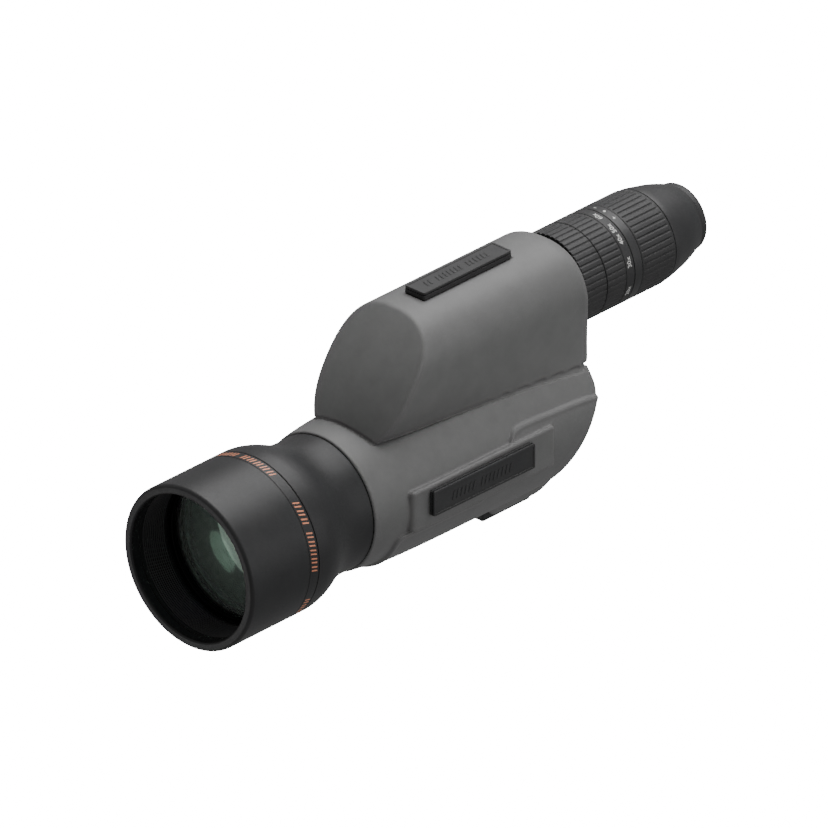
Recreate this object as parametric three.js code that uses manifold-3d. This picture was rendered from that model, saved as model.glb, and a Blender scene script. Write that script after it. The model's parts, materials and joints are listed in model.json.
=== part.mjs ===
// Spotting scope with a folded light path, as an assembly of separate parts.
// Millimetres. The optical frame has +Y from the front rim towards the eye, +Z up, +X to the
// scope's left, and its origin on the objective axis in the plane of the front rim. The whole
// scope is then moved so that the row's origin is the centre of the tripod foot's bottom face.
import * as THREE from "three";
import { mergeVertices } from "three/addons/utils/BufferGeometryUtils.js";
import Module from "manifold-3d";

const wasm = await Module();
wasm.setup();

// ---------------------------------------------------------------- driving dimensions
const FIT_GAP = 0.3; // clearance between parts that touch
const TURN_GAP = 0.45; // clearance between parts that turn in each other

const HOOD_RADIUS = 50; // outside of the sunshade and of the objective bell
const SEAM_Y = 54.3; // joint behind the sunshade when it is pushed home
const SEAM_GAP = 0.4;
const SUNSHADE_LIP = { faceInner: 45, faceOuter: 49, bore: 44.3, rearY: 7 };
const CLEAR_RADIUS = 42.5; // half the clear aperture of the objective
const BARREL_TUBE_RADIUS = 46.3; // tube that the sunshade slides on
const BARREL_BORE = 44.5; // bore of that tube, which takes the objective cell
const BARREL_FRONT_Y = 7.5;
const NECK_Y = 108.3; // joint between the black barrel and the grey housing
const NECK_RADIUS = 41.2;
const SPIGOT_RADIUS = 38.4; // tail of the barrel inside the housing

const BODY_RADIUS = 46.1; // the housing's barrel far behind the neck
const BODY_NARROWING = 3.9; // how much smaller it is at the neck
const BODY_TAPER_LENGTH = 28;
const ARMOUR_STEP = 1.5; // how far the lower armour stands out
const WALL = 4;
const TAIL_Y = 283.5; // where the slanted tail face crosses the objective axis
const TAIL_TILT = 0.5;
const BODY_REAR_Y = 291.7; // upright face above the slanted one

const EYE_Z = 68.3; // height of the eyepiece axis above the objective axis
const HUMP_HALF_WIDTH = 33;
const HUMP_TOP_Z = 101.6;
const HUMP_FRONT_Y = 121.9; // front of the hump where it leaves the barrel
const HUMP_REAR_Y = 296.6;
const HUMP_POWER = 2.4; // squareness of the rounded roof
const HUMP_FOOT_Z = 37; // height near which the hump's sides meet the barrel
const HUMP_TUCK = 2.7; // how late the sides turn in towards the foot
const NOSE_PLAN_RADIUS = 51;
const NOSE_LEAN = 0.25; // slope of the nose at its base
const NOSE_SWEEP = 0.0075; // how it leans back further, per square millimetre of height
const NOSE_BASE_Z = 37.7;

const MIRROR_TILT = 0.2908; // half of the angle that the light is folded by
const TAIL_MIRROR = { y: 262, z: 0, radius: 24 };
const NOSE_MIRROR = { y: 262 - EYE_Z / Math.tan(2 * MIRROR_TILT), z: EYE_Z, radius: 13 };
const MIRROR_THICKNESS = 4;
const TAIL_CARRIER = { radius: 30, frontY: 1, rearY: 7.7, screwCircle: 27.1 };

const KEEL = { halfWidth: 21.5, corner: 4, cornerHeight: 4.5, topZ: -30, bottomZ: -51.1, rearTopZ: -38.5 };
const FOOT = { y: 244, halfLength: 20, halfWidth: 17, bottomZ: -52.2, topZ: -46.8 };
const FOOT_SCREW = { x: 12, y: 16, headRadius: 2.6, shankRadius: 1.5 };
const THREAD_Y = 234; // centre of the tripod thread
const THREAD_RADIUS = 3.2; // 1/4 inch camera thread
const INSERT_RADIUS = 6; // brass insert that the thread is cut in

const PAD = { frontY: 185, rearY: 258, halfWidth: 7.7, bottomZ: 100.9, topZ: 105.9 };
const BOSS = { frontY: 133.7, rearY: 246, bottomZ: -13.5, topZ: 12, frontX: 46.9, rearX: 48.9 };
const SIDE_PAD = { frontY: 147.5, rearY: 230, bottomZ: -6.6, topZ: 9.4, thickness: 3.2 };

const RING_RADIUS = 29.4; // grip rings of the eyepiece
const FLUTE_COUNT = 48;
const FLUTE_DEPTH = 0.7;
const TUBE_RADIUS = 24; // fixed tube that the rings turn on
const TUBE_BORE = 20.6;
const CELL_RADIUS = 20.2; // lens cells that slide in the tube
const PIN_RADIUS = 1.4;
const PIN_TIP = 26.2;
const GROOVE_RADIUS = 26.7;
const GROOVE_HALF_WIDTH = 2;
const FOCUS_RING = { frontY: 297.2, rearY: 314.2 };
const ZOOM_RING = { frontY: 314.6, fluteEndY: 330.1, rearY: 337.3 };
const COLLAR = { frontY: 337.7, rearY: 344 };
const DIOPTER_RING = { frontY: 344.4, fluteEndY: 371, rearY: 372.4 };
const EYECUP = { frontY: 372.9, shellRearY: 403, rearY: 408.4, rimRadius: 20.9, boreRadius: 14.8 };

// ranges of the turning rings in degrees, and how far each moves its lens cell
const FOCUS = { low: -120, high: 120, travel: 4, pinY: 305.7 };
const ZOOM_FRONT = { low: 0, high: 105, travel: 5, pinY: 318.5 };
const ZOOM_REAR = { low: 0, high: 105, travel: -4, pinY: 333.5 };
const DIOPTER = { low: -60, high: 60, travel: 2, pinY: 357 };

const FINE = 32; // sides of the round parts that show or turn
const COARSE = 16; // sides of the round parts inside

// ---------------------------------------------------------------- finishes
const finish = (color, roughness, metalness) => ({ color, roughness, metalness });
const GREY_ARMOUR = finish(0x6a6a6a, 0.75, 0);
const BLACK_PAINT = finish(0x2c2c2c, 0.5, 0.1);
const BLACK_ANODISED = finish(0x1c1c1c, 0.45, 0.6);
const BLACK_RUBBER = finish(0x303030, 0.85, 0);
const BLACK_PLASTIC = finish(0x2a2a2a, 0.55, 0);
const BARE_ALUMINIUM = finish(0xb4b6b8, 0.4, 0.9);
const BRASS = finish(0xb08d45, 0.35, 0.9);
const STEEL = finish(0x8a8c8f, 0.35, 0.9);
const GLASS = finish(0x9fc0b0, 0.05, 0);
const MIRROR_SILVER = finish(0xdfe3e6, 0.03, 1);

// ---------------------------------------------------------------- shape helpers
// A closed mesh that keeps only its positions, with its shared corners merged and the
// triangles that this leaves without any area taken out.
function weld(geometry) {
  const bare = geometry.clone();
  bare.deleteAttribute("normal");
  bare.deleteAttribute("uv");
  const merged = mergeVertices(bare, 1e-4);
  const corners = merged.index.array;
  const kept = [];
  for (let i = 0; i < corners.length; i += 3) {
    const [a, b, c] = corners.slice(i, i + 3);
    if (a !== b && b !== c && c !== a) kept.push(a, b, c);
  }
  merged.setIndex(kept);
  return merged;
}

function toManifold(geometry) {
  const bare = weld(geometry);
  return new wasm.Manifold(
    new wasm.Mesh({
      numProp: 3,
      vertProperties: new Float32Array(bare.attributes.position.array),
      triVerts: new Uint32Array(bare.index.array),
    }),
  );
}

function toGeometry(solid) {
  const mesh = solid.getMesh();
  const geometry = new THREE.BufferGeometry();
  geometry.setAttribute("position", new THREE.BufferAttribute(new Float32Array(mesh.vertProperties), 3));
  geometry.setIndex(new THREE.BufferAttribute(new Uint32Array(mesh.triVerts), 1));
  return geometry;
}

// Joins the first list of geometries and cuts the second list from the result.
function combine(joined, cut = []) {
  let solid = toManifold(joined[0]);
  for (const geometry of joined.slice(1)) solid = solid.add(toManifold(geometry));
  for (const geometry of cut) solid = solid.subtract(toManifold(geometry));
  return toGeometry(solid);
}

function overlap(a, b) {
  return toGeometry(toManifold(a).intersect(toManifold(b)));
}

// A turned part about the line x = 0, z = axisZ, from a closed outline of [radius, y] points.
// The outline runs so that the material lies on its left when y points up and radius right.
function turned(outline, sides = FINE, axisZ = 0) {
  const points = outline.map(([radius, y]) => new THREE.Vector2(radius, y));
  const onAxis = outline[0][0] === 0 && outline[outline.length - 1][0] === 0;
  if (!onAxis) points.push(points[0].clone());
  const geometry = new THREE.LatheGeometry(points, sides);
  return geometry.translate(0, 0, axisZ);
}

// A plain ring or sleeve.
function sleeve(innerRadius, outerRadius, frontY, rearY, sides = FINE, axisZ = 0) {
  return turned(
    [
      [innerRadius, frontY],
      [outerRadius, frontY],
      [outerRadius, rearY],
      [innerRadius, rearY],
    ],
    sides,
    axisZ,
  );
}

function rod(radius, frontY, rearY, sides = COARSE, axisZ = 0) {
  const geometry = new THREE.CylinderGeometry(radius, radius, rearY - frontY, sides);
  return geometry.translate(0, (frontY + rearY) / 2, axisZ);
}

function box(low, high) {
  const size = high.map((value, axis) => value - low[axis]);
  const geometry = new THREE.BoxGeometry(...size);
  return geometry.translate(...low.map((value, axis) => value + size[axis] / 2));
}

// An outline in the XY plane, raised from lowZ to highZ.
function raised(outline, lowZ, highZ) {
  const shape = new THREE.Shape(outline.map(([x, y]) => new THREE.Vector2(x, y)));
  const geometry = new THREE.ExtrudeGeometry(shape, { depth: highZ - lowZ, bevelEnabled: false });
  return geometry.translate(0, 0, lowZ);
}

// An outline of [y, z] points, carried sideways from -halfWidth to +halfWidth.
function sidewall(outline, halfWidth) {
  const shape = new THREE.Shape(outline.map(([y, z]) => new THREE.Vector2(y, z)));
  const geometry = new THREE.ExtrudeGeometry(shape, { depth: 2 * halfWidth, bevelEnabled: false });
  geometry.applyMatrix4(new THREE.Matrix4().set(0, 0, 1, -halfWidth, 1, 0, 0, 0, 0, 1, 0, 0, 0, 0, 0, 1));
  return geometry;
}

// A skin over rings of points. Every ring has the same number of points, and seen from the
// last ring towards the first they run counterclockwise.
function loft(rings) {
  const count = rings[0].length;
  const positions = rings.flat().flat();
  const triangles = [];
  for (let ring = 0; ring + 1 < rings.length; ring += 1) {
    for (let i = 0; i < count; i += 1) {
      const a = ring * count + i;
      const b = ring * count + ((i + 1) % count);
      triangles.push(a, b, b + count, a, b + count, a + count);
    }
  }
  const last = (rings.length - 1) * count;
  for (let i = 1; i + 1 < count; i += 1) {
    triangles.push(0, i + 1, i);
    triangles.push(last, last + i, last + i + 1);
  }
  const geometry = new THREE.BufferGeometry();
  geometry.setAttribute("position", new THREE.Float32BufferAttribute(positions, 3));
  geometry.setIndex(triangles);
  return geometry;
}

// A straight-sided bar that winds round the eyepiece axis, used to cut a helical groove.
// Angles are measured from straight up towards the scope's left, in degrees.
function helicalBar(innerRadius, outerRadius, halfWidth, fromAngle, toAngle, fromY, toY) {
  const steps = Math.max(2, Math.ceil(Math.abs(toAngle - fromAngle) / 15));
  const rings = [];
  for (let step = 0; step <= steps; step += 1) {
    const part = step / steps;
    const angle = THREE.MathUtils.degToRad(fromAngle + part * (toAngle - fromAngle));
    const y = fromY + part * (toY - fromY);
    const at = (radius, along) => [radius * Math.sin(angle), along, EYE_Z + radius * Math.cos(angle)];
    rings.push([
      at(innerRadius, y - halfWidth),
      at(innerRadius, y + halfWidth),
      at(outerRadius, y + halfWidth),
      at(outerRadius, y - halfWidth),
    ]);
  }
  return loft(rings);
}

// A fluted grip between two planes: the outside of a ring, with straight grooves along it.
function fluted(innerRadius, outerRadius, frontY, rearY) {
  const shape = new THREE.Shape();
  const pitch = (2 * Math.PI) / FLUTE_COUNT;
  const corners = [
    [0.0, outerRadius],
    [0.6, outerRadius],
    [0.8, outerRadius - FLUTE_DEPTH],
  ];
  for (let flute = 0; flute < FLUTE_COUNT; flute += 1) {
    for (const [part, radius] of corners) {
      const angle = (flute + part) * pitch;
      const point = [radius * Math.cos(angle), radius * Math.sin(angle)];
      if (flute === 0 && part === 0) shape.moveTo(...point);
      else shape.lineTo(...point);
    }
  }
  const hole = new THREE.Path();
  for (let i = 0; i < FINE; i += 1) {
    const angle = (-i * 2 * Math.PI) / FINE;
    const point = [innerRadius * Math.cos(angle), innerRadius * Math.sin(angle)];
    if (i === 0) hole.moveTo(...point);
    else hole.lineTo(...point);
  }
  shape.holes.push(hole);
  const geometry = new THREE.ExtrudeGeometry(shape, { depth: rearY - frontY, bevelEnabled: false });
  geometry.rotateX(Math.PI / 2);
  return geometry.translate(0, rearY, EYE_Z);
}

// A lens between two spherical faces. A face's bulge is how far its middle stands out from
// its rim, and a hollow face has a negative bulge.
function lens(radius, frontY, rearY, frontBulge, rearBulge, sides, axisZ) {
  const steps = 3;
  const outline = [];
  for (let step = 0; step <= steps; step += 1) {
    const part = step / steps;
    outline.push([radius * part, frontY - frontBulge * (1 - part * part)]);
  }
  for (let step = steps; step >= 0; step -= 1) {
    const part = step / steps;
    outline.push([radius * part, rearY + rearBulge * (1 - part * part)]);
  }
  outline[0][0] = 0;
  outline[outline.length - 1][0] = 0;
  return turned(outline, sides, axisZ);
}

// Turns a shape that was made about the origin so that its +Y faces the given tilt from +Y
// towards +Z, and carries it to its place.
function placed(geometry, tilt, y, z) {
  return geometry.rotateX(tilt).translate(0, y, z);
}

const scope = new THREE.Group();
const names = new Set();

function addPart(name, geometry, look) {
  if (names.has(name)) throw new Error(`two parts are called ${name}`);
  names.add(name);
  const flat = weld(geometry).toNonIndexed();
  flat.computeVertexNormals();
  const mesh = new THREE.Mesh(flat, new THREE.MeshStandardMaterial(look));
  mesh.name = name;
  scope.add(mesh);
}

// ---------------------------------------------------------------- objective
// Sunshade: slides forward over the barrel tube. Its lip hides the tube's front edge.
addPart(
  "sunshade",
  turned([
    [SUNSHADE_LIP.faceInner, 0],
    [SUNSHADE_LIP.faceOuter, 0],
    [HOOD_RADIUS, 1],
    [HOOD_RADIUS, SEAM_Y - SEAM_GAP / 2],
    [BARREL_TUBE_RADIUS + TURN_GAP, SEAM_Y - SEAM_GAP / 2],
    [BARREL_TUBE_RADIUS + TURN_GAP, SUNSHADE_LIP.rearY],
    [SUNSHADE_LIP.bore, SUNSHADE_LIP.rearY],
    [SUNSHADE_LIP.bore, 0.7],
  ]),
  BLACK_PAINT,
);

// Friction band between the sunshade and the tube, in a groove of the tube.
const BAND = { innerRadius: 45.6, outerRadius: 46.5, frontY: 12, rearY: 18 };
addPart(
  "sunshade_friction_band",
  sleeve(BAND.innerRadius, BAND.outerRadius, BAND.frontY, BAND.rearY),
  BLACK_RUBBER,
);

// Objective barrel: tube, shoulder that the sunshade closes against, bell, neck and spigot.
addPart(
  "objective_barrel",
  turned([
    [BARREL_BORE, BARREL_FRONT_Y],
    [BARREL_TUBE_RADIUS, BARREL_FRONT_Y],
    [BARREL_TUBE_RADIUS, BAND.frontY - FIT_GAP],
    [BAND.innerRadius - FIT_GAP, BAND.frontY - FIT_GAP],
    [BAND.innerRadius - FIT_GAP, BAND.rearY + FIT_GAP],
    [BARREL_TUBE_RADIUS, BAND.rearY + FIT_GAP],
    [BARREL_TUBE_RADIUS, SEAM_Y + SEAM_GAP / 2],
    [HOOD_RADIUS, SEAM_Y + SEAM_GAP / 2],
    [HOOD_RADIUS, 62],
    [48.6, 70],
    [44.6, 80],
    [42, 88],
    [NECK_RADIUS, 95],
    [NECK_RADIUS, NECK_Y - FIT_GAP],
    [SPIGOT_RADIUS, NECK_Y - FIT_GAP],
    [SPIGOT_RADIUS, 122],
    [35.8, 122],
    [36.5, 100],
    [41.5, 60],
    [BARREL_BORE, 60],
  ]),
  BLACK_PAINT,
);

// Objective cell and what it holds: two lenses, the spacer between them, the ring that locks
// them, and the seal under that ring.
const CELL_BORE = 43.4;
const DOUBLET_RADIUS = 43;
addPart(
  "objective_cell",
  turned([
    [CELL_BORE, 29],
    [BARREL_BORE - FIT_GAP, 29],
    [BARREL_BORE - FIT_GAP, 59.6],
    [41, 59.6],
    [41, 55.4],
    [CELL_BORE, 55.4],
  ]),
  BLACK_ANODISED,
);
addPart("front_lens", lens(DOUBLET_RADIUS, 37, 43, 3.4, 3, FINE, 0), GLASS);
addPart("lens_spacer", sleeve(41.6, DOUBLET_RADIUS, 43.3, 46.5, FINE), BLACK_ANODISED);
addPart("rear_lens", lens(DOUBLET_RADIUS, 46.8, 55, -2.6, -1.2, FINE, 0), GLASS);
addPart("lens_seal", sleeve(42.1, DOUBLET_RADIUS, 35.2, 36.7, FINE), BLACK_RUBBER);
addPart(
  "lens_retaining_ring",
  turned([
    [CLEAR_RADIUS - 0.4, 31],
    [DOUBLET_RADIUS, 31],
    [DOUBLET_RADIUS, 34.9],
    [CLEAR_RADIUS - 0.4, 34.9],
    [CLEAR_RADIUS - 0.8, 33],
  ]),
  BLACK_ANODISED,
);
addPart("barrel_baffle", sleeve(33, 35.4, 108, 112, COARSE), BLACK_ANODISED);
addPart("neck_seal", sleeve(38.8, 40.8, NECK_Y - 0.05, NECK_Y + 1.35, FINE), BLACK_RUBBER);

// ---------------------------------------------------------------- housing
// Radius of the housing's barrel at a distance from the front rim.
function bodyRadius(y) {
  return BODY_RADIUS - BODY_NARROWING * Math.exp(-(y - NECK_Y) / BODY_TAPER_LENGTH);
}

const BODY_STATIONS = [NECK_Y, 115, 124, 138, 160, BODY_REAR_Y];

// The housing's barrel as a solid of revolution, grown or shrunk by an offset.
function barrelBody(offset, frontY) {
  const skin = BODY_STATIONS.filter((y) => y > frontY).map((y) => [bodyRadius(y) + offset, y]);
  return turned([[0, frontY], [bodyRadius(frontY) + offset, frontY], ...skin, [0, BODY_REAR_Y]]);
}

// Everything behind a plane that leans by the given tilt.
function behind(planeY, tilt) {
  return placed(box([-90, 0, -90], [90, 90, 90]), -tilt, planeY, 0);
}

// Cross-section of the hump at one distance from the front rim, with the half width of its foot.
function humpRing(y, footHalfWidth, inset) {
  const halfWidth = HUMP_HALF_WIDTH - inset;
  const rise = HUMP_TOP_Z - EYE_Z - inset;
  const tuck = HUMP_HALF_WIDTH - footHalfWidth;
  const sideX = (z) => halfWidth - tuck * ((EYE_Z - z) / (EYE_Z - HUMP_FOOT_Z)) ** HUMP_TUCK;
  const sideHeights = [31, HUMP_FOOT_Z, 44, 54];
  const ring = sideHeights.map((z) => [-sideX(z), y, z]);
  const roofSteps = 8;
  for (let step = 0; step <= roofSteps; step += 1) {
    const angle = Math.PI * (1 - step / roofSteps);
    const across = Math.cos(angle);
    const up = Math.sin(angle);
    const x = Math.sign(across) * halfWidth * Math.abs(across) ** (2 / HUMP_POWER);
    ring.push([x, y, EYE_Z + rise * up ** (2 / HUMP_POWER)]);
  }
  ring.push(...sideHeights.reverse().map((z) => [sideX(z), y, z]), [0, y, 10]);
  return ring;
}

// The space behind the swept nose, which the hump fills.
function behindNose(inset) {
  const rings = [];
  for (const z of [0, NOSE_BASE_Z, 50, 62, 74, 86, 98, 110]) {
    const height = z - NOSE_BASE_Z;
    const lean = NOSE_LEAN * height + NOSE_SWEEP * Math.max(0, height) ** 2;
    const frontY = HUMP_FRONT_Y + lean + inset;
    const arcSteps = 8;
    const ring = [];
    for (let step = 0; step <= arcSteps; step += 1) {
      const x = -42 + (84 * step) / arcSteps;
      ring.push([x, frontY + NOSE_PLAN_RADIUS - Math.sqrt(NOSE_PLAN_RADIUS ** 2 - x * x), z]);
    }
    ring.push([42, 330, z], [-42, 330, z]);
    rings.push(ring);
  }
  return loft(rings);
}

// Distances from the front rim, with the half width of the hump's foot at each.
const HUMP_FEET = [
  [105, 20.5],
  [135, 24],
  [157, 27.2],
  [203, 30.7],
];
const HUMP_REAR_FOOT = 34.4;

// The hump, whose roof is rounded off towards its rear end.
function hump(inset, rearY, roundedLength) {
  const rings = HUMP_FEET.map(([y, footHalfWidth]) => humpRing(y, footHalfWidth, inset));
  rings.push(humpRing(rearY - roundedLength, HUMP_REAR_FOOT, inset));
  const steps = 3;
  for (let step = 1; step <= steps && roundedLength > 0; step += 1) {
    const part = step / steps;
    const drop = roundedLength * 0.5 * (1 - Math.sqrt(1 - part * part));
    const y = rearY - roundedLength + roundedLength * part;
    rings.push(humpRing(y, HUMP_REAR_FOOT, inset + drop));
  }
  return overlap(loft(rings), behindNose(inset));
}

// Section of the fairing that carries the tripod foot.
function keelRing(y, bottomZ, topZ) {
  return [
    [-KEEL.halfWidth, y, topZ],
    [KEEL.halfWidth, y, topZ],
    [KEEL.halfWidth, y, bottomZ + KEEL.cornerHeight],
    [KEEL.halfWidth - KEEL.corner, y, bottomZ],
    [-KEEL.halfWidth + KEEL.corner, y, bottomZ],
    [-KEEL.halfWidth, y, bottomZ + KEEL.cornerHeight],
  ];
}

// Side view, as [y, z], of the lower armour: a step runs along its upper edge.
const ARMOUR_OUTLINE = [
  [126, -60],
  [125.8, -20],
  [128, -15.5],
  [133, -14],
  [192, -14.4],
  [199, -11],
  [206, -2],
  [213, 9],
  [218, 16],
  [223, 19],
  [232, 19.4],
  [258, 18],
  [325, 13],
  [325, -60],
];

function sideBoss(side) {
  return raised(
    [
      [38 * side, BOSS.frontY],
      [BOSS.frontX * side, BOSS.frontY],
      [BOSS.rearX * side, BOSS.rearY],
      [45 * side, BOSS.rearY + 6],
      [38 * side, BOSS.rearY + 6],
    ],
    BOSS.bottomZ,
    BOSS.topZ,
  );
}

// A small upright cylinder, for screws and holes under the foot and the top pad.
function post(radius, x, y, lowZ, highZ, sides = 8) {
  const geometry = new THREE.CylinderGeometry(radius, radius, highZ - lowZ, sides);
  return geometry.rotateX(Math.PI / 2).translate(x, y, (lowZ + highZ) / 2);
}

const FOOT_SCREWS = [-1, 1].flatMap((x) =>
  [-1, 1].map((y) => [x * FOOT_SCREW.x, FOOT.y + y * FOOT_SCREW.y]),
);
const NOSE_SCREWS_Y = [190, 198];
const TAIL_SCREW_ANGLES = [90, 210, 330].map(THREE.MathUtils.degToRad);

// A cylinder square to the tail mirror, at one of its carrier's screws.
function tailScrewRod(radius, frontY, rearY, angle) {
  const geometry = rod(radius, frontY, rearY, 8);
  const { screwCircle } = TAIL_CARRIER;
  geometry.translate(screwCircle * Math.cos(angle), 0, screwCircle * Math.sin(angle));
  return placed(geometry, -MIRROR_TILT, TAIL_MIRROR.y, TAIL_MIRROR.z);
}

const FLANGE = { radius: 28.2, frontY: 287, rearY: 296.4 };
const tailEnd = behind(TAIL_Y, TAIL_TILT);
const armour = overlap(barrelBody(ARMOUR_STEP, NECK_Y + 3), sidewall(ARMOUR_OUTLINE, 60));
const shellOutside = [
  combine([barrelBody(0, NECK_Y), armour], [tailEnd]),
  hump(0, HUMP_REAR_Y, 10),
  loft([
    keelRing(223, -45.5, KEEL.topZ),
    keelRing(229, KEEL.bottomZ, KEEL.topZ),
    keelRing(250, KEEL.bottomZ, KEEL.topZ),
    keelRing(266, KEEL.bottomZ, KEEL.rearTopZ),
  ]),
  loft([
    keelRing(265, KEEL.bottomZ, KEEL.rearTopZ),
    keelRing(267, KEEL.bottomZ, KEEL.rearTopZ),
    keelRing(272, KEEL.bottomZ + 3.5, KEEL.rearTopZ - 2),
  ]),
  sideBoss(1),
  sideBoss(-1),
];
const mirrorWallY = TAIL_MIRROR.y + (TAIL_CARRIER.rearY + FIT_GAP) / Math.cos(MIRROR_TILT);
const mirrorWall = behind(mirrorWallY, MIRROR_TILT);
const shellInside = [
  behind(HUMP_REAR_Y, 0),
  box([-60, BODY_REAR_Y, 0], [60, HUMP_REAR_Y + 10, 29]),
  rod(SPIGOT_RADIUS + FIT_GAP, NECK_Y - 2, 126, FINE),
  sleeve(38.5, 41.1, NECK_Y - 2, NECK_Y + 1.65, FINE),
  combine([barrelBody(-WALL, 123)], [mirrorWall]),
  hump(WALL, 284, 0),
  rod(FLANGE.radius + FIT_GAP, 270, 300, FINE, EYE_Z),
  box(
    [-FOOT.halfWidth - FIT_GAP, FOOT.y - FOOT.halfLength - FIT_GAP, -60],
    [FOOT.halfWidth + FIT_GAP, FOOT.y + FOOT.halfLength + FIT_GAP, FOOT.topZ + FIT_GAP],
  ),
  post(INSERT_RADIUS + FIT_GAP, 0, THREAD_Y, -50, -43.2, 16),
  ...FOOT_SCREWS.map(([x, y]) => post(FOOT_SCREW.shankRadius + 0.4, x, y, -50, -43.9)),
  box(
    [-PAD.halfWidth - FIT_GAP, PAD.frontY - FIT_GAP, PAD.bottomZ - FIT_GAP],
    [PAD.halfWidth + FIT_GAP, PAD.rearY + FIT_GAP, 110],
  ),
  ...NOSE_SCREWS_Y.map((y) => post(3.3, 0, y, 99, 110)),
  ...NOSE_SCREWS_Y.map((y) => post(1.8, 0, y, 90, 110)),
  ...TAIL_SCREW_ANGLES.map((angle) => tailScrewRod(1.7, 4, 11.4, angle)),
];
addPart("main_housing", combine(shellOutside, shellInside), GREY_ARMOUR);

// ---------------------------------------------------------------- pads
// A pad with cut corners, seen from above.
function raisedPad({ frontY, rearY, halfWidth, bottomZ, topZ }) {
  const cut = 1;
  return raised(
    [
      [-halfWidth + cut, frontY],
      [halfWidth - cut, frontY],
      [halfWidth, frontY + cut],
      [halfWidth, rearY - cut],
      [halfWidth - cut, rearY],
      [-halfWidth + cut, rearY],
      [-halfWidth, rearY - cut],
      [-halfWidth, frontY + cut],
    ],
    bottomZ,
    topZ,
  );
}

addPart("top_pad", raisedPad(PAD), BLACK_RUBBER);

function sidePad(side) {
  const slope = (BOSS.rearX - BOSS.frontX) / (BOSS.rearY - BOSS.frontY);
  const faceX = (y) => BOSS.frontX + slope * (y - BOSS.frontY) + FIT_GAP;
  const { frontY, rearY, thickness } = SIDE_PAD;
  return raised(
    [
      [faceX(frontY) * side, frontY],
      [(faceX(frontY) + thickness) * side, frontY],
      [(faceX(rearY) + thickness) * side, rearY - 1],
      [(faceX(rearY) + thickness - 1) * side, rearY],
      [faceX(rearY) * side, rearY],
    ],
    SIDE_PAD.bottomZ,
    SIDE_PAD.topZ,
  );
}
addPart("left_pad", sidePad(1), BLACK_RUBBER);
addPart("right_pad", sidePad(-1), BLACK_RUBBER);

// ---------------------------------------------------------------- tripod foot
const PIN_HOLE_Y = 255; // hole for the pin that stops the scope turning on its mount
addPart(
  "tripod_foot",
  combine(
    [
      raisedPad({
        frontY: FOOT.y - FOOT.halfLength,
        rearY: FOOT.y + FOOT.halfLength,
        halfWidth: FOOT.halfWidth,
        bottomZ: FOOT.bottomZ,
        topZ: FOOT.topZ,
      }),
    ],
    [
      post(INSERT_RADIUS + FIT_GAP, 0, THREAD_Y, -60, -40, 16),
      post(2.4, 0, PIN_HOLE_Y, -60, -48.4),
      ...FOOT_SCREWS.map(([x, y]) => post(FOOT_SCREW.headRadius + 0.4, x, y, -60, -49.6)),
      ...FOOT_SCREWS.map(([x, y]) => post(FOOT_SCREW.shankRadius + 0.4, x, y, -60, -40)),
    ],
  ),
  BLACK_PAINT,
);
addPart(
  "thread_insert",
  combine(
    [post(INSERT_RADIUS, 0, THREAD_Y, FOOT.bottomZ, -43.5, 16)],
    [post(THREAD_RADIUS, 0, THREAD_Y, -60, -44.4, 16)],
  ),
  BRASS,
);
FOOT_SCREWS.forEach(([x, y], index) => {
  const head = post(FOOT_SCREW.headRadius, x, y, FOOT.bottomZ + 0.3, -49.9);
  const shank = post(FOOT_SCREW.shankRadius, x, y, -50.5, -44.2);
  addPart(`foot_screw_${index + 1}`, combine([head, shank]), STEEL);
});

// ---------------------------------------------------------------- mirrors
addPart(
  "tail_mirror",
  placed(rod(TAIL_MIRROR.radius, 0, MIRROR_THICKNESS), -MIRROR_TILT, TAIL_MIRROR.y, TAIL_MIRROR.z),
  MIRROR_SILVER,
);
addPart(
  "tail_mirror_carrier",
  combine(
    [
      placed(
        rod(TAIL_CARRIER.radius, TAIL_CARRIER.frontY, TAIL_CARRIER.rearY),
        -MIRROR_TILT,
        TAIL_MIRROR.y,
        TAIL_MIRROR.z,
      ),
    ],
    [
      placed(
        rod(TAIL_MIRROR.radius + FIT_GAP, -5, MIRROR_THICKNESS + FIT_GAP),
        -MIRROR_TILT,
        TAIL_MIRROR.y,
        TAIL_MIRROR.z,
      ),
      ...TAIL_SCREW_ANGLES.map((angle) => tailScrewRod(1.7, -5, 15, angle)),
    ],
  ),
  BARE_ALUMINIUM,
);
TAIL_SCREW_ANGLES.forEach((angle, index) => {
  const head = tailScrewRod(2.4, -1.3, 0.7, angle);
  addPart(`tail_carrier_screw_${index + 1}`, combine([head, tailScrewRod(1.3, 0, 11, angle)]), STEEL);
});

addPart(
  "nose_mirror",
  placed(rod(NOSE_MIRROR.radius, -MIRROR_THICKNESS, 0), -MIRROR_TILT, NOSE_MIRROR.y, NOSE_MIRROR.z),
  MIRROR_SILVER,
);
addPart(
  "nose_mirror_carrier",
  combine(
    [
      placed(rod(15.5, -6.5, -1), -MIRROR_TILT, NOSE_MIRROR.y, NOSE_MIRROR.z),
      box([-6, 159.5, 82], [6, 167, 87]),
      box([-6, 163.5, 83], [6, 203, 89]),
      box([-6, 186, 88], [6, 203, 96.4]),
    ],
    [
      placed(rod(NOSE_MIRROR.radius + FIT_GAP, -4.3, 40), -MIRROR_TILT, NOSE_MIRROR.y, NOSE_MIRROR.z),
      ...NOSE_SCREWS_Y.map((y) => post(1.8, 0, y, 80, 110)),
    ],
  ),
  BARE_ALUMINIUM,
);
NOSE_SCREWS_Y.forEach((y, index) => {
  const head = post(2.8, 0, y, 99.3, 100.5);
  addPart(`nose_carrier_screw_${index + 1}`, combine([head, post(1.5, 0, y, 93.5, 100)]), STEEL);
});

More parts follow.
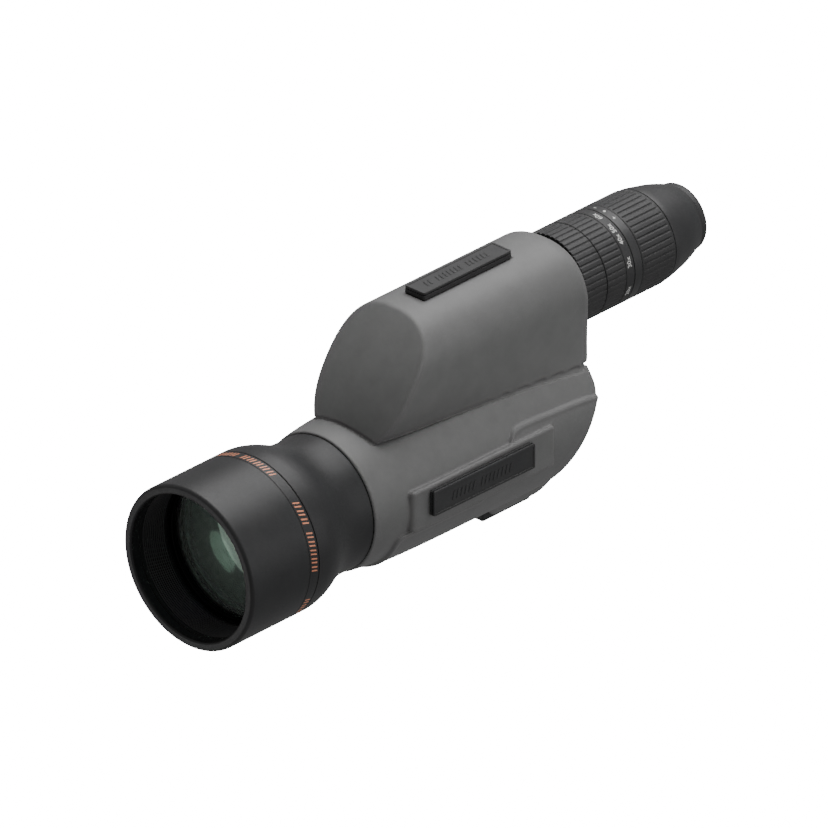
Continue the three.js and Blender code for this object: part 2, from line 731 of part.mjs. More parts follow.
// ---------------------------------------------------------------- eyepiece, fixed parts
// A groove inside a ring, cut so that the cell's pin stays in it over the ring's whole turn.
// The pin stands at pinAngle and the ring turns from low to high degrees, which carries the
// cell from lowY to highY. Turning is counted from straight up towards the scope's right.
function camGroove({ low, high, travel, pinY }, pinAngle) {
  const span = high - low;
  const firstY = pinY + (travel * low) / Math.max(Math.abs(low), high);
  const lastY = firstY + (travel * span) / Math.max(Math.abs(low), high);
  const margin = 6;
  const extra = ((lastY - firstY) / span) * margin;
  return helicalBar(
    TUBE_RADIUS,
    GROOVE_RADIUS,
    GROOVE_HALF_WIDTH,
    pinAngle + low - margin,
    pinAngle + high + margin,
    firstY - extra,
    lastY + extra,
  );
}

// The slot that lets a pin through the fixed tube.
function pinSlot({ low, high, travel, pinY }, pinAngle) {
  const reach = travel / Math.max(Math.abs(low), high);
  const ends = [pinY + reach * low, pinY + reach * high];
  const slot = box(
    [-1.9, Math.min(...ends) - 2, EYE_Z + 15],
    [1.9, Math.max(...ends) + 2, EYE_Z + 30],
  );
  return aboutEyeAxis(slot, pinAngle);
}

// Turns a piece about the eyepiece axis, from straight up towards the scope's left.
function aboutEyeAxis(geometry, degrees) {
  geometry.translate(0, 0, -EYE_Z);
  geometry.rotateY(THREE.MathUtils.degToRad(degrees));
  return geometry.translate(0, 0, EYE_Z);
}

const PIN_ANGLE = { focus: 0, zoomFront: 0, zoomRear: 180, diopter: 0 };

addPart(
  "eyepiece_tube",
  combine(
    [
      turned(
        [
          [TUBE_BORE, 206],
          [TUBE_RADIUS, 206],
          [TUBE_RADIUS, FLANGE.frontY],
          [FLANGE.radius, FLANGE.frontY],
          [FLANGE.radius, FLANGE.rearY],
          [TUBE_RADIUS, FLANGE.rearY],
          [TUBE_RADIUS, 372],
          [22.6, 372],
          [22.6, 389],
          [TUBE_BORE, 389],
        ],
        FINE,
        EYE_Z,
      ),
    ],
    [
      pinSlot(FOCUS, PIN_ANGLE.focus),
      pinSlot(ZOOM_FRONT, PIN_ANGLE.zoomFront),
      pinSlot(ZOOM_REAR, PIN_ANGLE.zoomRear),
      pinSlot(DIOPTER, PIN_ANGLE.diopter),
    ],
  ),
  BLACK_ANODISED,
);
addPart("field_stop", sleeve(9, CELL_RADIUS, 208, 211, COARSE, EYE_Z), BLACK_ANODISED);
addPart("erector_cell", sleeve(14.3, CELL_RADIUS, 240, 262, COARSE, EYE_Z), BLACK_ANODISED);
addPart("erector_front_lens", lens(14, 242, 246.5, 1.6, 1.2, COARSE, EYE_Z), GLASS);
addPart("erector_rear_lens", lens(14, 254, 258.5, 1.2, 1.6, COARSE, EYE_Z), GLASS);
addPart(
  "index_collar",
  sleeve(TUBE_RADIUS + FIT_GAP, RING_RADIUS, COLLAR.frontY, COLLAR.rearY, FINE, EYE_Z),
  BLACK_PLASTIC,
);

// ---------------------------------------------------------------- eyepiece, turning rings
const RING_BORE = TUBE_RADIUS + TURN_GAP;
addPart(
  "focus_ring",
  combine(
    [fluted(RING_BORE, RING_RADIUS, FOCUS_RING.frontY, FOCUS_RING.rearY)],
    [camGroove(FOCUS, PIN_ANGLE.focus)],
  ),
  BLACK_RUBBER,
);
addPart(
  "zoom_ring",
  combine(
    [
      fluted(RING_BORE, RING_RADIUS, ZOOM_RING.frontY, ZOOM_RING.fluteEndY),
      sleeve(RING_BORE, RING_RADIUS, ZOOM_RING.fluteEndY - 0.5, ZOOM_RING.rearY, FINE, EYE_Z),
    ],
    [camGroove(ZOOM_FRONT, PIN_ANGLE.zoomFront), camGroove(ZOOM_REAR, PIN_ANGLE.zoomRear)],
  ),
  BLACK_RUBBER,
);
addPart(
  "diopter_ring",
  combine(
    [
      fluted(RING_BORE, RING_RADIUS, DIOPTER_RING.frontY, DIOPTER_RING.fluteEndY),
      turned(
        [
          [RING_BORE, DIOPTER_RING.fluteEndY - 0.5],
          [RING_RADIUS - 0.2, DIOPTER_RING.fluteEndY - 0.5],
          [RING_RADIUS - 0.4, DIOPTER_RING.rearY],
          [RING_BORE, DIOPTER_RING.rearY],
        ],
        FINE,
        EYE_Z,
      ),
    ],
    [camGroove(DIOPTER, PIN_ANGLE.diopter)],
  ),
  BLACK_RUBBER,
);

// ---------------------------------------------------------------- eyepiece, sliding cells
// A cell with a blind hole for its pin, the pin, and the lens that the cell holds.
function slidingCell(name, motion, pinAngle, frontY, rearY, bore, lensPlace) {
  const drill = post(PIN_RADIUS + FIT_GAP, 0, motion.pinY, EYE_Z + 18.3, EYE_Z + 30);
  addPart(
    `${name}_cell`,
    combine([sleeve(bore, CELL_RADIUS, frontY, rearY, COARSE, EYE_Z)], [aboutEyeAxis(drill, pinAngle)]),
    BLACK_ANODISED,
  );
  const pin = aboutEyeAxis(post(PIN_RADIUS, 0, motion.pinY, EYE_Z + 18.6, EYE_Z + PIN_TIP), pinAngle);
  addPart(`${name}_pin`, pin, STEEL);
  addPart(
    `${name}_lens`,
    lens(bore - FIT_GAP, lensPlace.frontY, lensPlace.rearY, lensPlace.front, lensPlace.rear, COARSE, EYE_Z),
    GLASS,
  );
}
slidingCell("focus", FOCUS, PIN_ANGLE.focus, 301, 310.5, 15.3, {
  frontY: 304,
  rearY: 307.5,
  front: 1.4,
  rear: 1.4,
});
slidingCell("zoom_front", ZOOM_FRONT, PIN_ANGLE.zoomFront, 316, 321, 13.3, {
  frontY: 317.5,
  rearY: 319.5,
  front: -0.5,
  rear: -0.5,
});
slidingCell("zoom_rear", ZOOM_REAR, PIN_ANGLE.zoomRear, 331, 336, 13.3, {
  frontY: 332,
  rearY: 335,
  front: 0.8,
  rear: 0.8,
});
slidingCell("eye_lens", DIOPTER, PIN_ANGLE.diopter, 351, 387, 16.3, {
  frontY: 377,
  rearY: 382,
  front: 2.4,
  rear: 1.2,
});
addPart("field_lens", lens(16, 356, 361, 1, 1.8, COARSE, EYE_Z), GLASS);
addPart("eye_lens_spacer", sleeve(14.8, 16, 361.4, 376.6, COARSE, EYE_Z), BLACK_ANODISED);

// ---------------------------------------------------------------- eyecup
addPart(
  "eyecup_shell",
  turned(
    [
      [23.1, EYECUP.frontY],
      [RING_RADIUS - 0.4, EYECUP.frontY],
      [27.9, 381],
      [26.3, 389],
      [24.6, 395],
      [21.6, EYECUP.shellRearY],
      [18.2, EYECUP.shellRearY],
      [18.2, 391],
      [23.1, 391],
    ],
    FINE,
    EYE_Z,
  ),
  BLACK_PLASTIC,
);
addPart(
  "eyecup_rubber",
  turned(
    [
      [EYECUP.boreRadius, 391.5],
      [17.9, 391.5],
      [17.9, EYECUP.shellRearY + FIT_GAP],
      [EYECUP.rimRadius, EYECUP.shellRearY + FIT_GAP],
      [EYECUP.rimRadius, EYECUP.rearY - 1.6],
      [EYECUP.rimRadius - 1.6, EYECUP.rearY],
      [EYECUP.boreRadius + 1.4, EYECUP.rearY],
      [EYECUP.boreRadius, EYECUP.rearY - 1.6],
    ],
    FINE,
    EYE_Z,
  ),
  BLACK_RUBBER,
);

scope.position.set(0, -FOOT.y, -FOOT.bottomZ);
scope.updateMatrixWorld(true);

export default scope;
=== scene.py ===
# Looks of the spotting scope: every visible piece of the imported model, rebuilt finely.
import json
import math

import bmesh
import bpy
import numpy as np
from mathutils import Matrix, Vector


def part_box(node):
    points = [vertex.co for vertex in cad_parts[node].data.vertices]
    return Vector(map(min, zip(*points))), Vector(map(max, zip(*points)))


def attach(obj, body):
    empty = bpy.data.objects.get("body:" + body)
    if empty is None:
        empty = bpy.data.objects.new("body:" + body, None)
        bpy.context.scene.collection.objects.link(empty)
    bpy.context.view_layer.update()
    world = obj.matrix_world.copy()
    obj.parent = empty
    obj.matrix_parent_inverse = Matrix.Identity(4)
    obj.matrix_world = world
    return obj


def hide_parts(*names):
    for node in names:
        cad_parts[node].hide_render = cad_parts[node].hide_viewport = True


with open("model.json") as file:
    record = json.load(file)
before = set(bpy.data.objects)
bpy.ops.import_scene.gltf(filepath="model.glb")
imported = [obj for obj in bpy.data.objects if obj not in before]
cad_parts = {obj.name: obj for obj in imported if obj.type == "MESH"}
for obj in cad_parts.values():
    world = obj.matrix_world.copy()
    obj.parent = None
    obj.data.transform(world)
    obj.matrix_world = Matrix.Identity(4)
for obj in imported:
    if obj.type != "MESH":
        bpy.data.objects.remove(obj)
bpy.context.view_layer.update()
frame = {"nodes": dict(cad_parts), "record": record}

# ---------------------------------------------------------------- the optical frame
# Shapes are written in millimetres from the front rim: x to the scope's left, y towards the
# eye, z up from the objective axis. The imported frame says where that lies, in metres.
MM = 0.001


def node_box(name):
    low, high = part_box(name)
    return np.array(low), np.array(high)


HOOD_LOW, HOOD_HIGH = node_box("sunshade")
RIM_Y = HOOD_LOW[1]
AXIS_Z = (HOOD_LOW[2] + HOOD_HIGH[2]) / 2


def place(x, y, z):
    """A point of the optical frame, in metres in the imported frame."""
    return (x * MM, RIM_Y + y * MM, AXIS_Z + z * MM)


def span(name, axis):
    """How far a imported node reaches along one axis, in the optical frame's millimetres."""
    low, high = node_box(name)
    start = (0, RIM_Y, AXIS_Z)[axis]
    return (low[axis] - start) / MM, (high[axis] - start) / MM


def middle_and_half(name, axis):
    """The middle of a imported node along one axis, and half its length, in millimetres."""
    low, high = span(name, axis)
    return (low + high) / 2, (high - low) / 2


_, HOOD_RADIUS = middle_and_half("sunshade", 2)
SEAM_Y = span("sunshade", 1)[1]
EYE_Z, RING_RADIUS = middle_and_half("focus_ring", 2)
NECK_Y, REAR_Y = span("main_housing", 1)


# ---------------------------------------------------------------- materials
def ramp(nodes, links, source, stops):
    """A colour or grey ramp over a source value."""
    node = nodes.new("ShaderNodeValToRGB")
    elements = node.color_ramp.elements
    while len(elements) < len(stops):
        elements.new(0.5)
    for element, (position, colour) in zip(elements, stops):
        element.position = position
        element.color = (*colour, 1) if len(colour) == 3 else colour
    links.new(source, node.inputs["Fac"])
    return node.outputs["Color"]


def noise(nodes, links, vector, scale, detail=3.0, roughness=0.5):
    node = nodes.new("ShaderNodeTexNoise")
    node.inputs["Scale"].default_value = scale
    node.inputs["Detail"].default_value = detail
    node.inputs["Roughness"].default_value = roughness
    links.new(vector, node.inputs["Vector"])
    return node.outputs["Fac"]


def bump(nodes, links, height, strength, distance, before=None):
    node = nodes.new("ShaderNodeBump")
    node.inputs["Strength"].default_value = strength
    node.inputs["Distance"].default_value = distance
    links.new(height, node.inputs["Height"])
    if before is not None:
        links.new(before, node.inputs["Normal"])
    return node.outputs["Normal"]


def start_material(name):
    material = bpy.data.materials.new(name)
    material.use_nodes = True
    nodes = material.node_tree.nodes
    links = material.node_tree.links
    shader = nodes["Principled BSDF"]
    coordinates = nodes.new("ShaderNodeTexCoord")
    return material, nodes, links, shader, coordinates.outputs["Object"]


def grained(name, dark, light, rough, grain_size, grain_depth, mottle_size=12, metallic=0.0, specular=0.5):
    """A moulded or painted finish: mottled colour, grain as bump, and uneven roughness."""
    material, nodes, links, shader, position = start_material(name)
    shader.inputs["Metallic"].default_value = metallic
    shader.inputs["Specular IOR Level"].default_value = specular
    mottle = noise(nodes, links, position, 1000 / mottle_size, 4, 0.6)
    links.new(ramp(nodes, links, mottle, [(0.3, dark), (0.7, light)]), shader.inputs["Base Color"])
    fine = noise(nodes, links, position, 1000 / grain_size, 2, 0.5)
    low, high = rough
    links.new(
        ramp(nodes, links, fine, [(0.3, (low,) * 3), (0.75, (high,) * 3)]),
        shader.inputs["Roughness"],
    )
    wide = noise(nodes, links, position, 1000 / (grain_size * 9), 2, 0.5)
    first = bump(nodes, links, wide, 0.12, grain_depth * 2 * MM)
    links.new(bump(nodes, links, fine, 0.5, grain_depth * MM, first), shader.inputs["Normal"])
    return material


def turned_metal(name, colour_dark, colour_light, rough, centre_z, pitch=0.35):
    """Metal with fine turning marks about one axis of the scope."""
    material, nodes, links, shader, position = start_material(name)
    shader.inputs["Metallic"].default_value = 1.0
    shift = nodes.new("ShaderNodeMapping")
    shift.inputs["Location"].default_value = (0, 0, -centre_z)
    links.new(position, shift.inputs["Vector"])
    wave = nodes.new("ShaderNodeTexWave")
    wave.wave_type = "RINGS"
    wave.rings_direction = "Y"
    wave.inputs["Scale"].default_value = 1000 / pitch / 20
    wave.inputs["Distortion"].default_value = 0.6
    links.new(shift.outputs["Vector"], wave.inputs["Vector"])
    mottle = noise(nodes, links, position, 140, 3, 0.6)
    links.new(
        ramp(nodes, links, mottle, [(0.3, colour_dark), (0.7, colour_light)]), shader.inputs["Base Color"]
    )
    low, high = rough
    links.new(
        ramp(nodes, links, wave.outputs["Fac"], [(0.2, (low,) * 3), (0.8, (high,) * 3)]),
        shader.inputs["Roughness"],
    )
    links.new(bump(nodes, links, wave.outputs["Fac"], 0.15, 0.02 * MM), shader.inputs["Normal"])
    return material


def coated_glass(name, tint):
    """Glass with a thin haze, whose reflections are tinted by an antireflection coating."""
    material, nodes, links, shader, position = start_material(name)
    shader.inputs["Transmission Weight"].default_value = 0.9
    shader.inputs["IOR"].default_value = 1.52
    shader.inputs["Specular IOR Level"].default_value = 0.35
    shader.inputs["Specular Tint"].default_value = (*tint, 1)
    dust = noise(nodes, links, position, 900, 4, 0.7)
    links.new(ramp(nodes, links, dust, [(0.6, (0.0,) * 3), (0.95, (0.03,) * 3)]), shader.inputs["Roughness"])
    tone = noise(nodes, links, position, 20, 2, 0.5)
    links.new(
        ramp(nodes, links, tone, [(0.3, (0.80, 0.92, 0.85)), (0.7, (0.86, 0.95, 0.90))]),
        shader.inputs["Base Color"],
    )
    return material


GREY_ARMOUR = grained("grey_armour_finish", (0.125, 0.125, 0.125), (0.14, 0.14, 0.14), (0.5, 0.62), 0.5, 0.05)
BLACK_PAINT = grained(
    "black_paint_finish", (0.016, 0.016, 0.017), (0.021, 0.021, 0.022), (0.42, 0.52), 0.7, 0.02, specular=0.34
)
BLACK_RUBBER = grained(
    "black_rubber_finish", (0.017, 0.017, 0.018), (0.025, 0.025, 0.026), (0.52, 0.66), 0.35, 0.05
)
BLACK_PLASTIC = grained(
    "black_plastic_finish", (0.018, 0.018, 0.019), (0.024, 0.024, 0.025), (0.42, 0.52), 0.4, 0.03
)
ORANGE_INK = grained("orange_ink_finish", (0.70, 0.24, 0.12), (0.82, 0.31, 0.17), (0.4, 0.5), 0.3, 0.01, 3)
WHITE_INK = grained("white_ink_finish", (0.62, 0.62, 0.60), (0.75, 0.75, 0.73), (0.4, 0.5), 0.3, 0.01, 3)
BLACK_ANODISED = turned_metal(
    "black_anodised_finish", (0.012, 0.012, 0.013), (0.02, 0.02, 0.021), (0.35, 0.5), AXIS_Z
)
ALUMINIUM = turned_metal("aluminium_finish", (0.55, 0.56, 0.57), (0.68, 0.69, 0.70), (0.25, 0.4), AXIS_Z)
BRASS = turned_metal("brass_finish", (0.55, 0.38, 0.14), (0.70, 0.52, 0.24), (0.22, 0.38), AXIS_Z)
STEEL = turned_metal("steel_finish", (0.40, 0.40, 0.41), (0.52, 0.52, 0.53), (0.25, 0.4), AXIS_Z)
GLASS = coated_glass("coated_glass_finish", (0.6, 1.0, 0.75))
SILVER = turned_metal("mirror_silver_finish", (0.90, 0.92, 0.93), (0.93, 0.94, 0.95), (0.01, 0.03), AXIS_Z, 2)


# ---------------------------------------------------------------- mesh helpers
def add_piece(name, points, faces, body, material, replaces=(), sharp=35):
    """A piece from points in the optical frame's millimetres."""
    mesh = bpy.data.meshes.new(name)
    points = np.asarray(points, dtype=float)
    moved = points * MM + np.array([0, RIM_Y, AXIS_Z])
    mesh.from_pydata(moved.tolist(), [], [list(face) for face in faces])
    mesh.validate()
    mesh.shade_smooth()
    mesh.set_sharp_from_angle(angle=math.radians(sharp))
    piece = bpy.data.objects.new(name, mesh)
    bpy.context.scene.collection.objects.link(piece)
    mesh.materials.append(material)
    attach(piece, body)
    if replaces:
        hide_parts(*replaces)
    return piece


def filleted(outline, steps=4):
    """A closed outline of (radius, y, fillet) corners, with each corner rounded."""
    points = []
    count = len(outline)
    for index, (radius, y, fillet) in enumerate(outline):
        corner = np.array([radius, y], float)
        if fillet == 0:
            points.append(tuple(corner))
            continue
        before = np.array(outline[index - 1][:2], float) - corner
        after = np.array(outline[(index + 1) % count][:2], float) - corner
        reach = min(fillet, np.linalg.norm(before) * 0.49, np.linalg.norm(after) * 0.49)
        start = corner + before / np.linalg.norm(before) * reach
        end = corner + after / np.linalg.norm(after) * reach
        for step in range(steps + 1):
            part = step / steps
            point = (1 - part) ** 2 * start + 2 * part * (1 - part) * corner + part**2 * end
            points.append(tuple(point))
    return points


def lathe(outline, sides=192, axis_z=0.0, dent=None):
    """A closed outline of (radius, y) points turned about the line x = 0, z = axis_z.

    Its faces look outward, whichever way round the outline runs.
    """
    following_points = outline[1:] + outline[:1]
    area = sum(a[0] * b[1] - b[0] * a[1] for a, b in zip(outline, following_points))
    if area < 0:
        outline = outline[::-1]
    rings = len(outline)
    radii = np.array([point[0] for point in outline])
    lengths = np.array([point[1] for point in outline])
    angles = np.arange(sides) * 2 * math.pi / sides
    angle, radius = np.meshgrid(angles, radii, indexing="ij")
    _, y = np.meshgrid(angles, lengths, indexing="ij")
    if dent is not None:
        radius = radius - dent(angle, y, radius)
    points = np.stack([radius * np.cos(angle), y, axis_z + radius * np.sin(angle)], axis=-1)
    faces = []
    for side in range(sides):
        this = side * rings
        following = ((side + 1) % sides) * rings
        for ring in range(rings):
            after = (ring + 1) % rings
            faces.append((this + ring, this + after, following + after, following + ring))
    return points.reshape(-1, 3), faces


def subdivided(outline, longest):
    """The outline with long straight stretches cut into shorter ones."""
    points = []
    for index, start in enumerate(outline):
        end = outline[(index + 1) % len(outline)]
        length = math.dist(start, end)
        cuts = max(1, math.ceil(length / longest))
        for cut in range(cuts):
            part = cut / cuts
            points.append((start[0] + part * (end[0] - start[0]), start[1] + part * (end[1] - start[1])))
    return points


# ---------------------------------------------------------------- housing
# The housing's skin is described by distance functions, blended where surfaces meet, and
# meshed by surface nets whose points are then moved onto the exact surface.
NARROWING = 3.9  # how much slimmer the housing is at the neck
BODY_RADIUS = 46.1
TAPER_LENGTH = 28
ARMOUR_STEP = 1.5
TAIL_Y = 283.5
TAIL_TILT = 0.5
BODY_REAR_Y = 292.3
WALL = 3.6
HUMP_HALF_WIDTH = 33
HUMP_TOP_Z = span("main_housing", 2)[1]
HUMP_POWER = 2.4
HUMP_FRONT_Y = 121.9
HUMP_FOOT_Z = 37
HUMP_FEET = [
    (105, 20.5), (130, 22.7), (136, 24.3), (146, 25.9), (157, 27.2), (203, 30.7), (226, 32),
    (250, 33.1), (290, 34.6),
]
HUMP_TUCK = 2.7
HUMP_BASE_Z = 12  # the hump's underside, inside the barrel
ROOF_BEND_Z = 92  # above this, the crease between nose and roof softens
NOSE_PLAN_RADIUS = 51
NOSE_LEAN = 0.25
NOSE_SWEEP = 0.0075
NOSE_BASE_Z = 37.7
REAR_BOW = 0.0018  # how fast the hump's rear face leans in below REAR_BOW_TOP_Z
REAR_BOW_TOP_Z = 70
OVERHANG_Z = 28  # below this, the hump ends with the barrel
VALLEY_GROOVE = 0.75  # radius of the groove between the hump and the barrel
ARMOUR_FRONT_Y = 125.6
LIP_BEAD = {"tall": 0.45, "inset": 1.4, "wide": 1.1}  # along the armour's edge
EDGE_STEEPNESS = 0.85  # turns a height above the sloping edge into a distance from it
ARMOUR_EDGE = [
    (120, -13.9), (176, -14.0), (191, -14.5), (196, -13), (200, -9.6), (205, -4), (210, 3), (214, 10),
    (217, 14.6), (219, 17), (221, 18.6), (224, 19.3), (230, 19.5), (240, 19.1), (251, 18.3),
    (268, 17.5), (281, 16.5), (291, 14.7), (300, 13),
]
KEEL = {"front": 223, "half_width": 21.5, "bottom": -51.2, "top": -30}
KEEL_BEVELS = {  # a (y, z) point of each plane, and the way it faces
    "front": ((227, -46), (-0.8, -0.6)),
    "rear": ((272.5, -47.5), (0.55, -0.83)),
    "top": ((275, -42), (0.47, 0.88)),
}
BOSS = {"front": 133.7, "rear": 249, "bottom": -13.6, "top": 12, "front_x": 46.9, "rear_x": 48.9}
BOSS_ROOT_X = 30  # the boss starts well inside the barrel's wall
NECK_BORE = {"radius": 41, "rear": 125}
EYEPIECE_BORE = {"radius": 28.5, "front": 270}
SEAT_ROOM = 0.3  # clearance round a pad or a foot that is let into the housing


def blend_max(a, b, size):
    h = np.clip((size - np.abs(a - b)) / size, 0, None)
    return np.maximum(a, b) + h * h * size / 4


def blend_min(a, b, size):
    return -blend_max(-a, -b, size)


def body_radius(y):
    return BODY_RADIUS - NARROWING * np.exp(-(y - NECK_Y) / TAPER_LENGTH)


def plane(y, z, point, facing):
    """How far a place is in front of a plane that lies across the scope."""
    return (y - point[0]) * facing[0] + (z - point[1]) * facing[1]


def smooth_course(course, y, reach):
    """A value along the scope, from a list of (y, value), with its corners rounded off."""
    stations, values = zip(*course)
    total = 0
    for part in (-1, -0.5, 0, 0.5, 1):
        total = total + np.interp(y + part * reach, stations, values)
    return total / 5


def hump_distance(x, y, z):
    """The hump: a rounded roof over sides that tuck in towards the barrel, and a swept nose."""
    height = z - EYE_Z
    across = np.abs(x) / HUMP_HALF_WIDTH
    upward = np.maximum(height, 0) / (HUMP_TOP_Z - EYE_Z)
    roof = (across**HUMP_POWER + upward**HUMP_POWER) ** (1 / HUMP_POWER)
    depth = EYE_Z - HUMP_FOOT_Z
    downward = np.maximum(-height, 0) / depth
    tuck = HUMP_HALF_WIDTH - smooth_course(HUMP_FEET, y, 8)
    slope = tuck * HUMP_TUCK * downward ** (HUMP_TUCK - 1) / depth
    side = (np.abs(x) - HUMP_HALF_WIDTH + tuck * downward**HUMP_TUCK) / np.sqrt(1 + slope**2)
    section = np.where(height > 0, (roof - 1) * HUMP_HALF_WIDTH, side)

    above = z - NOSE_BASE_Z
    swept = np.maximum(above, 0)
    nose_y = HUMP_FRONT_Y + NOSE_LEAN * above + NOSE_SWEEP * swept**2 + NOSE_PLAN_RADIUS
    round_nose = np.hypot(x, y - nose_y) - NOSE_PLAN_RADIUS
    nose = np.where(y < nose_y, round_nose, np.abs(x) - NOSE_PLAN_RADIUS)
    nose = nose / np.sqrt(1 + (NOSE_LEAN + 2 * NOSE_SWEEP * swept) ** 2)
    shape = blend_max(section, nose, 0.8 + 0.06 * np.maximum(z - ROOF_BEND_Z, 0))

    rear = y - REAR_Y + REAR_BOW * np.maximum(REAR_BOW_TOP_Z - z, 0) ** 2
    shape = blend_max(shape, rear, 5.0 + 0.3 * np.maximum(z - REAR_BOW_TOP_Z, 0))
    overhang = -np.maximum(BODY_REAR_Y - 1 - y, z - OVERHANG_Z)
    return np.maximum(blend_max(shape, overhang, 6), HUMP_BASE_Z - z)


def keel_distance(x, y, z):
    """The fairing under the barrel, which carries the foot."""
    bevels = {name: plane(y, z, *bevel) for name, bevel in KEEL_BEVELS.items()}
    across = blend_max(np.abs(x) - KEEL["half_width"], KEEL["bottom"] - z, 9)
    along = np.maximum(np.maximum(bevels["front"], bevels["rear"]), KEEL["front"] - y)
    above = np.maximum(z - KEEL["top"], bevels["top"])
    return blend_max(blend_max(across, along, 3), above, 1)


def boss_face(y):
    """How far out the side boss reaches: it widens towards the rear."""
    slope = (BOSS["rear_x"] - BOSS["front_x"]) / (BOSS["rear"] - BOSS["front"])
    return BOSS["front_x"] + slope * (y - BOSS["front"])


def boss_distance(x, y, z):
    """The flat raised panel on each side, which carries a pad."""
    shape = blend_max(np.abs(x) - boss_face(y), z - BOSS["top"], 1.6)
    shape = blend_max(shape, BOSS["bottom"] - z, 1.0)
    shape = blend_max(shape, BOSS["front"] - y, 3.5)
    shape = blend_max(shape, y - BOSS["rear"], 1.0)
    return np.maximum(shape, BOSS_ROOT_X - np.abs(x))


def seat_distance(name, x, y, z):
    """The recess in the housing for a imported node, with room on every side."""
    distance = -np.inf
    for axis, value in enumerate((x, y, z)):
        middle, half = middle_and_half(name, axis)
        distance = np.maximum(distance, np.abs(value - middle) - half - SEAT_ROOM)
    return distance


def housing_distance(x, y, z):
    """The housing's outside: a barrel in lower armour, its slanted tail, hump, keel and bosses."""
    barrel = np.hypot(x, z) - body_radius(y)
    over_edge = (z - smooth_course(ARMOUR_EDGE, y, 2)) * EDGE_STEEPNESS
    edge = blend_max(over_edge, ARMOUR_FRONT_Y - y, 6)
    bead = LIP_BEAD["tall"] * np.exp(-(((edge + LIP_BEAD["inset"]) / LIP_BEAD["wide"]) ** 2))
    armour = blend_max(barrel - ARMOUR_STEP - bead, edge, 1.8)
    barrel = blend_max(barrel, y - BODY_REAR_Y, 3)
    armour = blend_max(armour, y - BODY_REAR_Y, 2)
    body = blend_min(barrel, armour, 0.6)
    tail = plane(y, z, (TAIL_Y, 0), (math.cos(TAIL_TILT), -math.sin(TAIL_TILT)))
    body = blend_max(body, tail, 3)
    hump = hump_distance(x, y, z)
    valley = VALLEY_GROOVE - np.hypot(body, hump)
    body = np.maximum(blend_min(body, hump, 0.9), valley)
    body = blend_min(body, keel_distance(x, y, z), 3)
    body = blend_min(body, boss_distance(x, y, z), 0.8)
    body = blend_max(body, NECK_Y - y, 1.0)
    for name in ("top_pad", "tripod_foot"):
        body = np.maximum(body, -seat_distance(name, x, y, z))
    return body


def housing_shell(x, y, z):
    """The housing as a hollow shell, open at the neck and at the eyepiece."""
    outer = housing_distance(x, y, z)
    hollow = outer + WALL
    front_bore = np.maximum(np.hypot(x, z) - NECK_BORE["radius"], y - NECK_BORE["rear"])
    rear_bore = np.maximum(np.hypot(x, z - EYE_Z) - EYEPIECE_BORE["radius"], EYEPIECE_BORE["front"] - y)
    inner = np.minimum(hollow, np.minimum(front_bore, rear_bore))
    return np.maximum(outer, -inner)


def surface_net(distance, low, high, step):
    """Points and faces of the surface where the distance is zero."""
    axes = [np.arange(a, b + step, step) for a, b in zip(low, high)]
    x, y, z = np.meshgrid(*axes, indexing="ij", sparse=True)
    field = distance(x, y, z).astype(np.float32)
    inside = field < 0
    cells = tuple(n - 1 for n in field.shape)
    total = np.zeros((*cells, 3), np.float32)
    count = np.zeros(cells, np.uint8)
    for axis in range(3):
        ahead = [slice(None)] * 3
        behind = [slice(None)] * 3
        ahead[axis] = slice(1, None)
        behind[axis] = slice(None, -1)
        first, second = field[tuple(behind)], field[tuple(ahead)]
        crosses = inside[tuple(behind)] != inside[tuple(ahead)]
        part = np.where(crosses, first / np.where(crosses, first - second, 1), 0)
        others = [other for other in range(3) if other != axis]
        for corner_a in (0, 1):
            for corner_b in (0, 1):
                take = [slice(None)] * 3
                take[others[0]] = slice(corner_a, corner_a + cells[others[0]])
                take[others[1]] = slice(corner_b, corner_b + cells[others[1]])
                here = crosses[tuple(take)]
                count += here
                total[..., axis] += np.where(here, part[tuple(take)], 0)
                total[..., others[0]] += here * corner_a
                total[..., others[1]] += here * corner_b
    active = count > 0
    numbers = np.full(cells, -1, np.int64)
    numbers[active] = np.arange(active.sum())
    where = np.argwhere(active)
    points = (where + total[active] / count[active][:, None]) * step + np.array(low)
    faces = []
    for axis in range(3):
        ahead = [slice(1, -1)] * 3
        behind = [slice(1, -1)] * 3
        ahead[axis] = slice(1, None)
        behind[axis] = slice(None, -1)
        crosses = inside[tuple(behind)] != inside[tuple(ahead)]
        outward = inside[tuple(behind)]
        spots = np.argwhere(crosses)
        spots[:, [other for other in range(3) if other != axis]] += 1
        turn = outward[crosses]
        u, v = [(1, 2), (2, 0), (0, 1)][axis]
        quad = []
        for du, dv in ((-1, -1), (0, -1), (0, 0), (-1, 0)):
            cell = spots.copy()
            cell[:, u] += du
            cell[:, v] += dv
            quad.append(numbers[cell[:, 0], cell[:, 1], cell[:, 2]])
        quad = np.stack(quad, axis=1)
        quad[~turn] = quad[~turn][:, ::-1]
        faces.append(quad)
    return points, np.concatenate(faces)


def settle(distance, points, reach, rounds=3):
    """Moves points onto the exact surface, by no more than the reach."""
    start = points.copy()
    nudge = 0.02
    for _ in range(rounds):
        value = distance(*points.T)
        slope = np.empty_like(points)
        for axis in range(3):
            shift = np.zeros(3)
            shift[axis] = nudge
            slope[:, axis] = (distance(*(points + shift).T) - distance(*(points - shift).T)) / (2 * nudge)
        size = np.maximum((slope**2).sum(axis=1), 0.2)
        points = points - slope * (value / size)[:, None]
        moved = points - start
        length = np.linalg.norm(moved, axis=1)
        points = start + moved * np.minimum(1, reach / np.maximum(length, 1e-9))[:, None]
    return points


